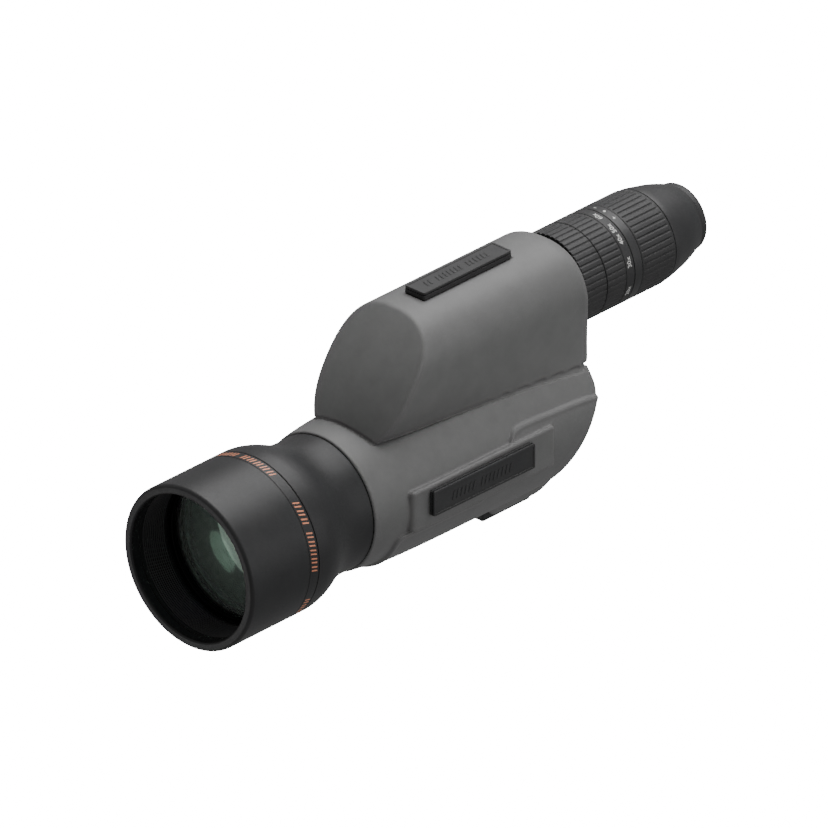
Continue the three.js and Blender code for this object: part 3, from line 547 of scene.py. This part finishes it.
def make_housing():
    step = 0.8
    low = [-54 - step / 2, NECK_Y - 3, -56]
    high = [54 + step / 2, REAR_Y + 3, HUMP_TOP_Z + 4]
    points, faces = surface_net(housing_shell, low, high, step)
    points = settle(housing_shell, points, step * 0.6)
    add_piece(
        "housing_armour", points, faces.tolist(), "scope_body", GREY_ARMOUR,
        ["main_housing"], sharp=60,
    )


# ---------------------------------------------------------------- objective end
def add_turned(name, corners, node, body, material, axis_z=0.0, sides=192):
    """A turned piece from (radius, y, fillet) corners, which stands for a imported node."""
    points, faces = lathe(filleted(corners), sides, axis_z)
    piece = add_piece(name, points, faces, body, material, [node])
    modifier = piece.modifiers.new("weighted_normals", "WEIGHTED_NORMAL")
    modifier.keep_sharp = True


BAND_GROOVE_Y = SEAM_Y - 7.3  # fine groove in front of the band of marks


def make_sunshade():
    floor_radius = HOOD_RADIUS - 0.25
    corners = [
        (44.3, 7, 0.2),
        (44.3, 0.9, 0.8),
        (45.1, 0.0, 0.3),
        (48.6, 0.0, 0.6),
        (HOOD_RADIUS, 1.5, 1.2),
        (HOOD_RADIUS, BAND_GROOVE_Y - 0.35, 0.1),
        (floor_radius, BAND_GROOVE_Y - 0.2, 0.05),
        (floor_radius, BAND_GROOVE_Y + 0.2, 0.05),
        (HOOD_RADIUS, BAND_GROOVE_Y + 0.35, 0.1),
        (HOOD_RADIUS, SEAM_Y, 0.35),
        (46.8, SEAM_Y, 0.2),
        (46.8, 7, 0.2),
    ]
    add_turned("sunshade_tube", corners, "sunshade", "sunshade", BLACK_PAINT, sides=256)


def wrapped(points, faces, radius, axis_z, angle, middle_y):
    """Flat artwork laid round a cylinder about the scope's length.

    Its x runs round from the scope's left over the top, and its y points to the front.
    """
    moved = []
    for x, y, z in points:
        turn = angle + x / radius
        r = radius + z
        moved.append((r * math.cos(turn), middle_y - y, axis_z + r * math.sin(turn)))
    return moved, faces


def slanted_bar(x, wide, tall, lean, thick):
    """Points and faces of one bar, cut into short lengths so that it can be wrapped."""
    cuts = 3
    points = []
    for height in (thick, -0.15):
        for cut in range(cuts + 1):
            along = x + wide * cut / cuts
            points.append((along - lean / 2, -tall / 2, height))
            points.append((along + lean / 2, tall / 2, height))
    layer = 2 * (cuts + 1)
    faces = []
    for cut in range(cuts):
        a = 2 * cut
        b = a + layer
        faces += [(a, a + 2, a + 3, a + 1), (b, b + 1, b + 3, b + 2)]
        faces += [(a, b, b + 2, a + 2), (a + 1, a + 3, b + 3, b + 1)]
    end = 2 * cuts
    faces += [(0, 1, layer + 1, layer), (end, end + layer, end + layer + 1, end + 1)]
    return points, faces


def join_meshes(parts):
    points = []
    faces = []
    for part_points, part_faces in parts:
        base = len(points)
        points += list(part_points)
        faces += [tuple(base + index for index in face) for face in part_faces]
    return points, faces


BAND_BAR = {"wide": 0.9, "tall": 4.4, "lean": 1.3, "thick": 0.04}
BARS_APART = 2.3  # millimetres between the two bars of a pair
PAIR_PITCH = 5.85  # degrees from one pair to the next
GROUP_GAP = 3.8  # degrees between the two groups of a run
RUN_START = -3.3
RUNS = 5


def make_band_marks():
    """Pairs of slanted orange bars behind the sunshade's groove, in groups of five and three."""
    parts = []
    middle_y = (BAND_GROOVE_Y + SEAM_Y) / 2
    for run in range(RUNS):
        degrees = RUN_START + run * 360 / RUNS
        for pairs in (5, 3):
            for _ in range(pairs):
                for x in (0, BARS_APART):
                    bar = slanted_bar(x, **BAND_BAR)
                    parts.append(wrapped(*bar, HOOD_RADIUS, 0, math.radians(degrees), middle_y))
                degrees += PAIR_PITCH
            degrees += GROUP_GAP
    points, faces = join_meshes(parts)
    add_piece("sunshade_band_marks", points, faces, "sunshade", ORANGE_INK)


def bell_radius(y):
    """Outside of the objective bell, from the shoulder to the neck."""
    stations = (58, 64, 70, 75, 80, 85, 90, 95, 100, 108, 112)
    radii = (50, 49.85, 48.6, 46.9, 44.6, 42.7, 41.6, 41.1, 41.0, 41.2, 41.2)
    return float(np.interp(y, stations, radii))


def smooth_bell():
    """The bell's outline from the shoulder to the neck, with the course's corners rounded off."""
    points = []
    for y in np.arange(58, 106.1, 1.0):
        nearby = [bell_radius(y + shift) for shift in (-2, -1, 0, 1, 2)]
        points.append((sum(nearby) / len(nearby), float(y), 0))
    return points


TUBE_BORE = 44.5
GLARE_RIDGES = {"first": 10.0, "pitch": 1.5, "count": 12, "wide": 0.7, "tall": 0.4}


def make_objective_barrel():
    tube = span("objective_barrel", 1)[0]
    ridges = []
    for index in range(GLARE_RIDGES["count"]):
        start = GLARE_RIDGES["first"] + index * GLARE_RIDGES["pitch"]
        ridges += [
            (TUBE_BORE, start, 0),
            (TUBE_BORE - GLARE_RIDGES["tall"], start + GLARE_RIDGES["wide"] / 2, 0),
            (TUBE_BORE, start + GLARE_RIDGES["wide"], 0),
        ]
    corners = [
        (TUBE_BORE, tube, 0.2),
        *ridges,
        (TUBE_BORE, 60, 0),
        (41.5, 60, 0),
        (36.5, 100, 0),
        (35.8, 122, 0),
        (38.4, 122, 0.3),
        (38.4, NECK_Y - 0.4, 0),
        (41.2, NECK_Y - 0.4, 0.3),
        *smooth_bell()[::-1],
        (HOOD_RADIUS, SEAM_Y + 0.45, 0.35),
        (46.3, SEAM_Y + 0.45, 0.2),
        (46.3, tube, 0.2),
    ]
    add_turned(
        "objective_bell", corners, "objective_barrel", "scope_body", BLACK_PAINT, sides=256
    )


def make_retaining_ring():
    front, rear = span("lens_retaining_ring", 1)
    bore = 42.1
    corners = [
        (bore, front, 0.4),
        (bore - 0.4, (front + rear) / 2, 0.4),
        (bore, rear, 0.2),
        (43, rear, 0.1),
        (43, front, 0.25),
    ]
    add_turned(
        "retaining_ring", corners, "lens_retaining_ring", "scope_body", BLACK_ANODISED
    )


def make_cell():
    front, rear = span("objective_cell", 1)
    corners = [
        (43.4, front, 0.3),
        (43.4, 55.4, 0),
        (41, 55.4, 0.2),
        (41, rear, 0.2),
        (44.2, rear, 0.3),
        (44.2, front, 0.2),
    ]
    add_turned("lens_cell", corners, "objective_cell", "scope_body", BLACK_ANODISED)


def bulging_lens(name, node, body, axis_z, front_bulge, rear_bulge, sides=96):
    """A lens with two spherical faces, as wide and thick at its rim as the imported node's."""
    _, radius = middle_and_half(node, 0)
    front, rear = span(node, 1)
    front_rim = front + max(front_bulge, 0)
    rear_rim = rear - max(rear_bulge, 0)
    steps = 16

    def face(rim, bulge):
        parts = [step / steps for step in range(steps + 1)]
        return [(max(radius * part, 0.01), rim + bulge * (1 - part * part)) for part in parts]

    outline = face(front_rim, -front_bulge) + face(rear_rim, rear_bulge)[::-1]
    points, faces = lathe(outline, sides, axis_z)
    add_piece(name, points, faces, body, GLASS, [node], sharp=30)


def make_lenses():
    bulging_lens("objective_front_lens", "front_lens", "scope_body", 0, 3.4, 3.0, 160)
    bulging_lens("objective_rear_lens", "rear_lens", "scope_body", 0, -2.6, -1.2, 160)
    bulging_lens("eye_lens", "eye_lens_lens", "eye_lens_cell", EYE_Z, 2.4, 1.2)


# ---------------------------------------------------------------- pads and foot
def rounded_loop(half_a, half_b, corner, steps=6):
    """A rectangle with rounded corners about the origin, counterclockwise."""
    corner = max(min(corner, half_a, half_b), 0.05)
    loop = []
    for quarter, (sign_a, sign_b) in enumerate([(1, 1), (-1, 1), (-1, -1), (1, -1)]):
        for step in range(steps + 1):
            angle = (quarter + step / steps) * math.pi / 2
            a = sign_a * (half_a - corner) + corner * math.cos(angle)
            b = sign_b * (half_b - corner) + corner * math.sin(angle)
            loop.append((a, b))
    return loop


def slab(half_a, half_b, corner, levels):
    """A slab built from insets of its rounded outline: (inset, height) from its back to its front."""
    points = []
    faces = []
    for inset, height in levels:
        loop = rounded_loop(half_a - inset, half_b - inset, corner - inset)
        points += [(a, b, height) for a, b in loop]
    count = len(loop)
    for level in range(len(levels) - 1):
        for index in range(count):
            following = (index + 1) % count
            a = level * count
            faces.append((a + index, a + following, a + count + following, a + count + index))
    top = (len(levels) - 1) * count
    faces.append(tuple(reversed(range(count))))
    faces.append(tuple(range(top, top + count)))
    return points, faces


MARK_LEAN = 0.28
MARK_LEVELS = [(0, -0.14), (0, 0.196), (0.1, 0.266), (0.3, 0.294)]
FIELD_DEPTH = 0.3  # how far the field inside a pad's raised edge is sunk


def embossed_marks(tall, pitch, groups):
    """Slanted bars that stand up in a row, in the place of moulded lettering."""
    parts = []
    along = -(sum(groups) + len(groups) - 1) * pitch / 2
    for count in groups:
        for _ in range(count):
            bar_points, bar_faces = slab(pitch * 0.24, tall / 2, pitch * 0.1, MARK_LEVELS)
            parts.append(([(a + along + MARK_LEAN * b, b, c) for a, b, c in bar_points], bar_faces))
            along += pitch
        along += pitch
    return join_meshes(parts)


def pad_levels(thickness, plate):
    """Insets of a pad: a base, a thin plate over a groove round its edge, and a sunk field."""
    groove = thickness - plate
    return [
        (0.3, 0),
        (0, 0.3),
        (0, groove - 0.6),
        (0.1, groove - 0.5),
        (0.9, groove - 0.45),
        (0.9, groove - 0.05),
        (0.2, groove),
        (0.12, groove + 0.1),
        (0.12, thickness - 0.4),
        (0.2, thickness - 0.15),
        (0.4, thickness),
        (1.5, thickness),
        (1.7, thickness - FIELD_DEPTH),
        (1.9, thickness - FIELD_DEPTH),
    ]


def make_top_pad():
    _, half_x = middle_and_half("top_pad", 0)
    middle_y, half_y = middle_and_half("top_pad", 1)
    z_low, z_high = span("top_pad", 2)
    thickness = z_high - z_low
    body = slab(half_x, half_y, 1.6, pad_levels(thickness, 1.5))
    marks, mark_faces = embossed_marks(5.2, 3.1, (2, 7, 6))
    bars = ([(-b, a, c + thickness - FIELD_DEPTH) for a, b, c in marks], mark_faces)
    points, faces = join_meshes([body, bars])
    points = [(x, middle_y + y, z_low + z) for x, y, z in points]
    add_piece("top_pad_rubber", points, faces, "scope_body", BLACK_RUBBER, ["top_pad"])


SIDE_PAD_THICKNESS = 3.2
SIDE_PAD_LIFT = 0.3  # how far a side pad's back stands off its boss


def make_side_pad(side, node):
    """One side's pad, which follows the boss that it sits on."""
    middle_y, half_y = middle_and_half(node, 1)
    middle_z, half_z = middle_and_half(node, 2)
    body = slab(half_y, half_z, 1.4, pad_levels(SIDE_PAD_THICKNESS, 1.2))
    marks, mark_faces = embossed_marks(5.4, 3.3, (6, 8))
    bars = ([(a, b, c + SIDE_PAD_THICKNESS - FIELD_DEPTH) for a, b, c in marks], mark_faces)
    points, faces = join_meshes([body, bars])
    placed = []
    for a, b, c in points:
        y = middle_y + a
        placed.append((side * (boss_face(y) + SIDE_PAD_LIFT + c), y, middle_z + b))
    if side < 0:
        faces = [tuple(reversed(face)) for face in faces]
    add_piece(f"{node}_rubber", placed, faces, "scope_body", BLACK_RUBBER, [node])


def drill_holes(piece, drills):
    """Cuts cylinders out of a piece: each is (x, y, radius, low z, high z) in the optical frame."""
    for x, y, radius, low, high in drills:
        mesh = bpy.data.meshes.new("drill")
        shape = bmesh.new()
        bmesh.ops.create_cone(
            shape, cap_ends=True, segments=48, radius1=radius * MM, radius2=radius * MM,
            depth=(high - low) * MM, matrix=Matrix.Translation(place(x, y, (low + high) / 2)),
        )
        shape.to_mesh(mesh)
        shape.free()
        drill = bpy.data.objects.new("drill", mesh)
        bpy.context.scene.collection.objects.link(drill)
        cut = piece.modifiers.new("drill", "BOOLEAN")
        cut.object = drill
        cut.operation = "DIFFERENCE"
        cut.solver = "EXACT"
        bpy.context.view_layer.update()
        result = piece.evaluated_get(bpy.context.evaluated_depsgraph_get())
        cut_mesh = bpy.data.meshes.new_from_object(result)
        piece.modifiers.remove(cut)
        piece.data = cut_mesh
        bpy.data.objects.remove(drill)
    piece.data.shade_smooth()
    piece.data.set_sharp_from_angle(angle=math.radians(35))


PIN_HOLE = {"behind": 11, "radius": 2.4, "deep": 3.8}
SCREW_HOLE = {"x": 12, "along": 16, "head_radius": 2.9, "head_deep": 2.6, "radius": 1.7}
DRILL_PAST = 2  # how far a drill starts or ends outside the foot


def make_foot():
    _, half_x = middle_and_half("tripod_foot", 0)
    middle_y, half_y = middle_and_half("tripod_foot", 1)
    z_low, z_high = span("tripod_foot", 2)
    thickness = z_high - z_low
    levels = [(0.2, 0), (0, 0.2), (0, thickness - 0.9), (0.25, thickness - 0.3), (0.7, thickness)]
    points, faces = slab(half_y, half_x, 1.4, levels)
    placed = [(b, middle_y + a, z_high - c) for a, b, c in points]
    piece = add_piece(
        "tripod_shoe", placed, faces, "scope_body", BLACK_PAINT, ["tripod_foot"]
    )
    thread_y, _ = middle_and_half("thread_insert", 1)
    _, insert_radius = middle_and_half("thread_insert", 0)
    start, end = z_low - DRILL_PAST, z_high + DRILL_PAST
    drills = [
        (0, thread_y, insert_radius + 0.1, start, end),
        (0, middle_y + PIN_HOLE["behind"], PIN_HOLE["radius"], start, z_low + PIN_HOLE["deep"]),
    ]
    for x in (-SCREW_HOLE["x"], SCREW_HOLE["x"]):
        for y in (middle_y - SCREW_HOLE["along"], middle_y + SCREW_HOLE["along"]):
            drills.append((x, y, SCREW_HOLE["head_radius"], start, z_low + SCREW_HOLE["head_deep"]))
            drills.append((x, y, SCREW_HOLE["radius"], start, end))
    drill_holes(piece, drills)


# ---------------------------------------------------------------- eyepiece
FLUTES = 48
FLUTE_SIDES = 12
FLUTE_DEPTH = 0.7
FLUTE_CENTRE = 0.8  # where each flute lies within its pitch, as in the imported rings
FLUTE_HALF_WIDTH = 0.17


def flute_dent(front_y, rear_y, round_front, round_rear):
    """How deep the flutes are at an angle and a place along a ring, with run-out ends."""

    def dent(angle, y, radius):
        part = (angle * FLUTES / (2 * math.pi) - FLUTE_CENTRE + 0.5) % 1 - 0.5
        across = np.clip(1 - (np.abs(part) / FLUTE_HALF_WIDTH) ** 2, 0, 1) ** 0.7
        front = np.clip((y - front_y) / round_front, 0, 1)
        rear = np.clip((rear_y - y) / round_rear, 0, 1)
        ends = np.minimum(np.sqrt(1 - (1 - front) ** 2), np.sqrt(1 - (1 - rear) ** 2))
        outside = radius > RING_RADIUS - 1.2
        return np.where(outside, across * FLUTE_DEPTH * ends, 0)

    return dent


def fluted_ring(name, node, body, corners, flutes):
    outline = subdivided(filleted(corners), 0.8)
    points, faces = lathe(outline, FLUTES * FLUTE_SIDES, EYE_Z, flute_dent(*flutes))
    add_piece(name, points, faces, body, BLACK_RUBBER, [node], sharp=50)


def make_rings():
    bore = 24.45
    collar_bore = 24.3
    outside = RING_RADIUS
    front, rear = span("focus_ring", 1)
    fluted_ring(
        "focus_ring_grip", "focus_ring", "focus_ring",
        [(bore, front, 0), (outside, front, 0.5), (outside, rear, 0.5), (bore, rear, 0)],
        (front - 1, rear - 0.4, 0.5, 0.9),
    )
    front, rear = span("zoom_ring", 1)
    band_y = rear - 7.2
    fluted_ring(
        "zoom_ring_grip", "zoom_ring", "zoom_ring",
        [
            (bore, front, 0),
            (outside, front, 0.5),
            (outside, band_y, 0.2),
            (outside - 0.35, band_y + 0.1, 0.1),
            (outside - 0.35, band_y + 0.5, 0.1),
            (outside, band_y + 0.6, 0.15),
            (outside, rear, 0.4),
            (bore, rear, 0),
        ],
        (front + 0.4, band_y - 0.2, 0.9, 0.9),
    )
    front, rear = span("diopter_ring", 1)
    fluted_ring(
        "diopter_ring_grip", "diopter_ring", "diopter_ring",
        [
            (bore, front, 0),
            (outside - 0.3, front, 0.2),
            (outside, front + 1.1, 0.4),
            (outside, rear - 2.2, 0.4),
            (outside - 0.35, rear, 0.3),
            (bore, rear, 0),
        ],
        (front + 0.9, rear - 1.6, 0.9, 2.2),
    )
    front, rear = span("index_collar", 1)
    add_turned(
        "index_collar_ring",
        [(collar_bore, front, 0), (outside, front, 0.35), (outside, rear, 0.35), (collar_bore, rear, 0)],
        "index_collar", "scope_body", BLACK_PLASTIC, EYE_Z,
    )


def text_mesh(words, size, thick):
    """Points and faces of a short text, centred, with its back sunk below the surface."""
    curve = bpy.data.curves.new("numeral", "FONT")
    curve.body = words
    curve.size = size
    curve.align_x = "CENTER"
    curve.align_y = "CENTER"
    curve.extrude = thick
    curve.resolution_u = 3
    holder = bpy.data.objects.new("numeral", curve)
    bpy.context.scene.collection.objects.link(holder)
    bpy.context.view_layer.update()
    mesh = bpy.data.meshes.new_from_object(holder.evaluated_get(bpy.context.evaluated_depsgraph_get()))
    points = [tuple(vertex.co) for vertex in mesh.vertices]
    faces = [tuple(polygon.vertices) for polygon in mesh.polygons]
    bpy.data.objects.remove(holder)
    bpy.data.meshes.remove(mesh)
    return points, faces


ZOOM_SCALE = {"60x": 83, "50x": 60, "40x": 44.6, "30x": 16.5, "20x": -20}  # in degrees round the ring
INDEX_DEGREES = 85.5
SIGN_OFFSETS = (14.1, -14.9)


def make_scales():
    """The zoom numbers on the ring's smooth band, and the collar's index dot and signs."""
    rear = span("zoom_ring", 1)[1]
    parts = [
        wrapped(*text_mesh(words, 4.4, 0.05), RING_RADIUS, EYE_Z, math.radians(degrees), rear - 3.5)
        for words, degrees in ZOOM_SCALE.items()
    ]
    points, faces = join_meshes(parts)
    add_piece("zoom_numbers", points, faces, "zoom_ring", WHITE_INK)
    middle, _ = middle_and_half("index_collar", 1)
    dot = slab(0.85, 0.85, 0.85, [(0, -0.1), (0, 0.03), (0.08, 0.06)])
    level_bar = slab(1.0, 0.22, 0.1, [(0, -0.1), (0, 0.03), (0.05, 0.05)])
    upright_bar = slab(0.22, 1.0, 0.1, [(0, -0.1), (0, 0.03), (0.05, 0.055)])
    minus, plus = (INDEX_DEGREES + offset for offset in SIGN_OFFSETS)
    marks = [(dot, INDEX_DEGREES), (level_bar, minus), (level_bar, plus), (upright_bar, plus)]
    parts = [
        wrapped(*shape, RING_RADIUS, EYE_Z, math.radians(degrees), middle) for shape, degrees in marks
    ]
    points, faces = join_meshes(parts)
    add_piece("index_marks", points, faces, "scope_body", WHITE_INK)


def make_eyecup():
    front, rear = span("eyecup_shell", 1)
    bore = 23.1
    shell = [
        (bore, front, 0),
        (RING_RADIUS - 0.45, front, 0.5),
        (28.75, 376, 3),
        (27.75, 381, 5),
        (26.15, 389, 4),
        (24.45, 395, 3),
        (21.55, rear, 0.3),
        (18.2, rear, 0),
        (18.2, 391, 0),
        (bore, 391, 0),
    ]
    add_turned("eyecup_sleeve", shell, "eyecup_shell", "eyecup", BLACK_PLASTIC, EYE_Z)
    front, rear = span("eyecup_rubber", 1)
    rim = 20.9
    bore = 14.8
    lip = 403.3
    rubber = [
        (bore, front, 0.4),
        (17.9, front, 0),
        (17.9, lip, 0),
        (rim, lip, 0.8),
        (rim, rear, 2.0),
        (bore + 0.3, rear, 1.4),
        (bore, rear - 2.5, 0.6),
    ]
    add_turned("eyecup_lip", rubber, "eyecup_rubber", "eyecup", BLACK_RUBBER, EYE_Z)


# ---------------------------------------------------------------- carried-over nodes
NODE_FINISH = {
    "bare_aluminium": ALUMINIUM,
    "black_anodised": BLACK_ANODISED,
    "black_paint": BLACK_PAINT,
    "black_plastic": BLACK_PLASTIC,
    "black_rubber": BLACK_RUBBER,
    "brass": BRASS,
    "coated_glass": GLASS,
    "grey_armour": GREY_ARMOUR,
    "mirror_silver": SILVER,
    "steel": STEEL,
}


def finish_nodes():
    """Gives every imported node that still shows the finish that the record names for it."""
    for part in frame["record"]["subparts"]:
        node = frame["nodes"][part["node"]]
        for slot in node.material_slots:
            slot.material = NODE_FINISH[part["material_slot"]]


# ---------------------------------------------------------------- studio
FLOOR_Z = -0.2
VIEW_AZIMUTH = 0.7528
VIEW_ELEVATION = 0.4871
VIEW_DISTANCE = 9.8971
VIEW_TARGET = (0, 200, 20)
FRAMING = (10.24, -0.6374)  # millimetres that the target stands right of and above the middle
FOCAL_LENGTH = 760.87


def look_along(eye, target):
    """The placing of a camera or a light at one point that looks at another."""
    back = (Vector(eye) - Vector(target)).normalized()
    right = Vector((0, 0, 1)).cross(back).normalized()
    up = back.cross(right)
    turn = Matrix((right, up, back)).transposed().to_4x4()
    return Matrix.Translation(eye) @ turn


def make_camera():
    back = Vector(
        (
            math.sin(VIEW_AZIMUTH) * math.cos(VIEW_ELEVATION),
            -math.cos(VIEW_AZIMUTH) * math.cos(VIEW_ELEVATION),
            math.sin(VIEW_ELEVATION),
        )
    )
    right = Vector((math.cos(VIEW_AZIMUTH), math.sin(VIEW_AZIMUTH), 0))
    up = back.cross(right)
    target = Vector(place(*VIEW_TARGET)) - right * FRAMING[0] * MM - up * FRAMING[1] * MM
    data = bpy.data.cameras.new("camera")
    data.lens = FOCAL_LENGTH
    data.sensor_width = 36
    data.clip_end = 50
    camera = bpy.data.objects.new("camera", data)
    bpy.context.scene.collection.objects.link(camera)
    camera.matrix_world = look_along(target + back * VIEW_DISTANCE, target)
    bpy.context.scene.camera = camera


def make_floor():
    """A white, softly glowing sweep, which the object's own surfaces don't see."""
    material, nodes, links, shader, position = start_material("floor_finish")
    shade = noise(nodes, links, position, 3, 2, 0.5)
    tone = ramp(nodes, links, shade, [(0.3, (0.93,) * 3), (0.7, (0.95,) * 3)])
    links.new(tone, shader.inputs["Base Color"])
    links.new(tone, shader.inputs["Emission Color"])
    shader.inputs["Emission Strength"].default_value = 18
    shader.inputs["Roughness"].default_value = 0.9
    mesh = bpy.data.meshes.new("floor")
    size = 30
    mesh.from_pydata(
        [(-size, -size, FLOOR_Z), (size, -size, FLOOR_Z), (size, size, FLOOR_Z), (-size, size, FLOOR_Z)],
        [],
        [(0, 1, 2, 3)],
    )
    mesh.materials.append(material)
    floor = bpy.data.objects.new("floor", mesh)
    bpy.context.scene.collection.objects.link(floor)
    floor.visible_diffuse = False
    floor.visible_glossy = False
    floor.visible_transmission = False


LIGHT_DISTANCE = 1.6
WORLD_RADIANCE = 0.34
LIGHTS = {  # the way to the light, the side of its square in metres, and its radiance
    "key_light": ((-0.1, 0.45, 1), 1.5, 5.2),
    "side_fill": ((1, 0.35, 0.25), 1.2, 1.5),
    "low_card": ((-0.42, -0.8, -0.36), 1.0, 2.0),
}


def add_softbox(name, direction, size, radiance):
    """A square light that looks at the scope."""
    middle = Vector(place(*VIEW_TARGET))
    data = bpy.data.lights.new(name, "AREA")
    data.shape = "SQUARE"
    data.size = size
    data.energy = radiance * math.pi * size**2
    light = bpy.data.objects.new(name, data)
    bpy.context.scene.collection.objects.link(light)
    light.matrix_world = look_along(middle + Vector(direction).normalized() * LIGHT_DISTANCE, middle)


def make_lights():
    world = bpy.data.worlds.new("studio")
    bpy.context.scene.world = world
    world.use_nodes = True
    background = world.node_tree.nodes["Background"]
    background.inputs["Color"].default_value = (1, 1, 1, 1)
    background.inputs["Strength"].default_value = WORLD_RADIANCE
    for name, light in LIGHTS.items():
        add_softbox(name, *light)


# ---------------------------------------------------------------- assembly
make_housing()
make_sunshade()
make_band_marks()
make_objective_barrel()
make_retaining_ring()
make_cell()
make_lenses()
make_top_pad()
make_side_pad(1, "left_pad")
make_side_pad(-1, "right_pad")
make_foot()
make_rings()
make_scales()
make_eyecup()
finish_nodes()
make_floor()
make_lights()
make_camera()
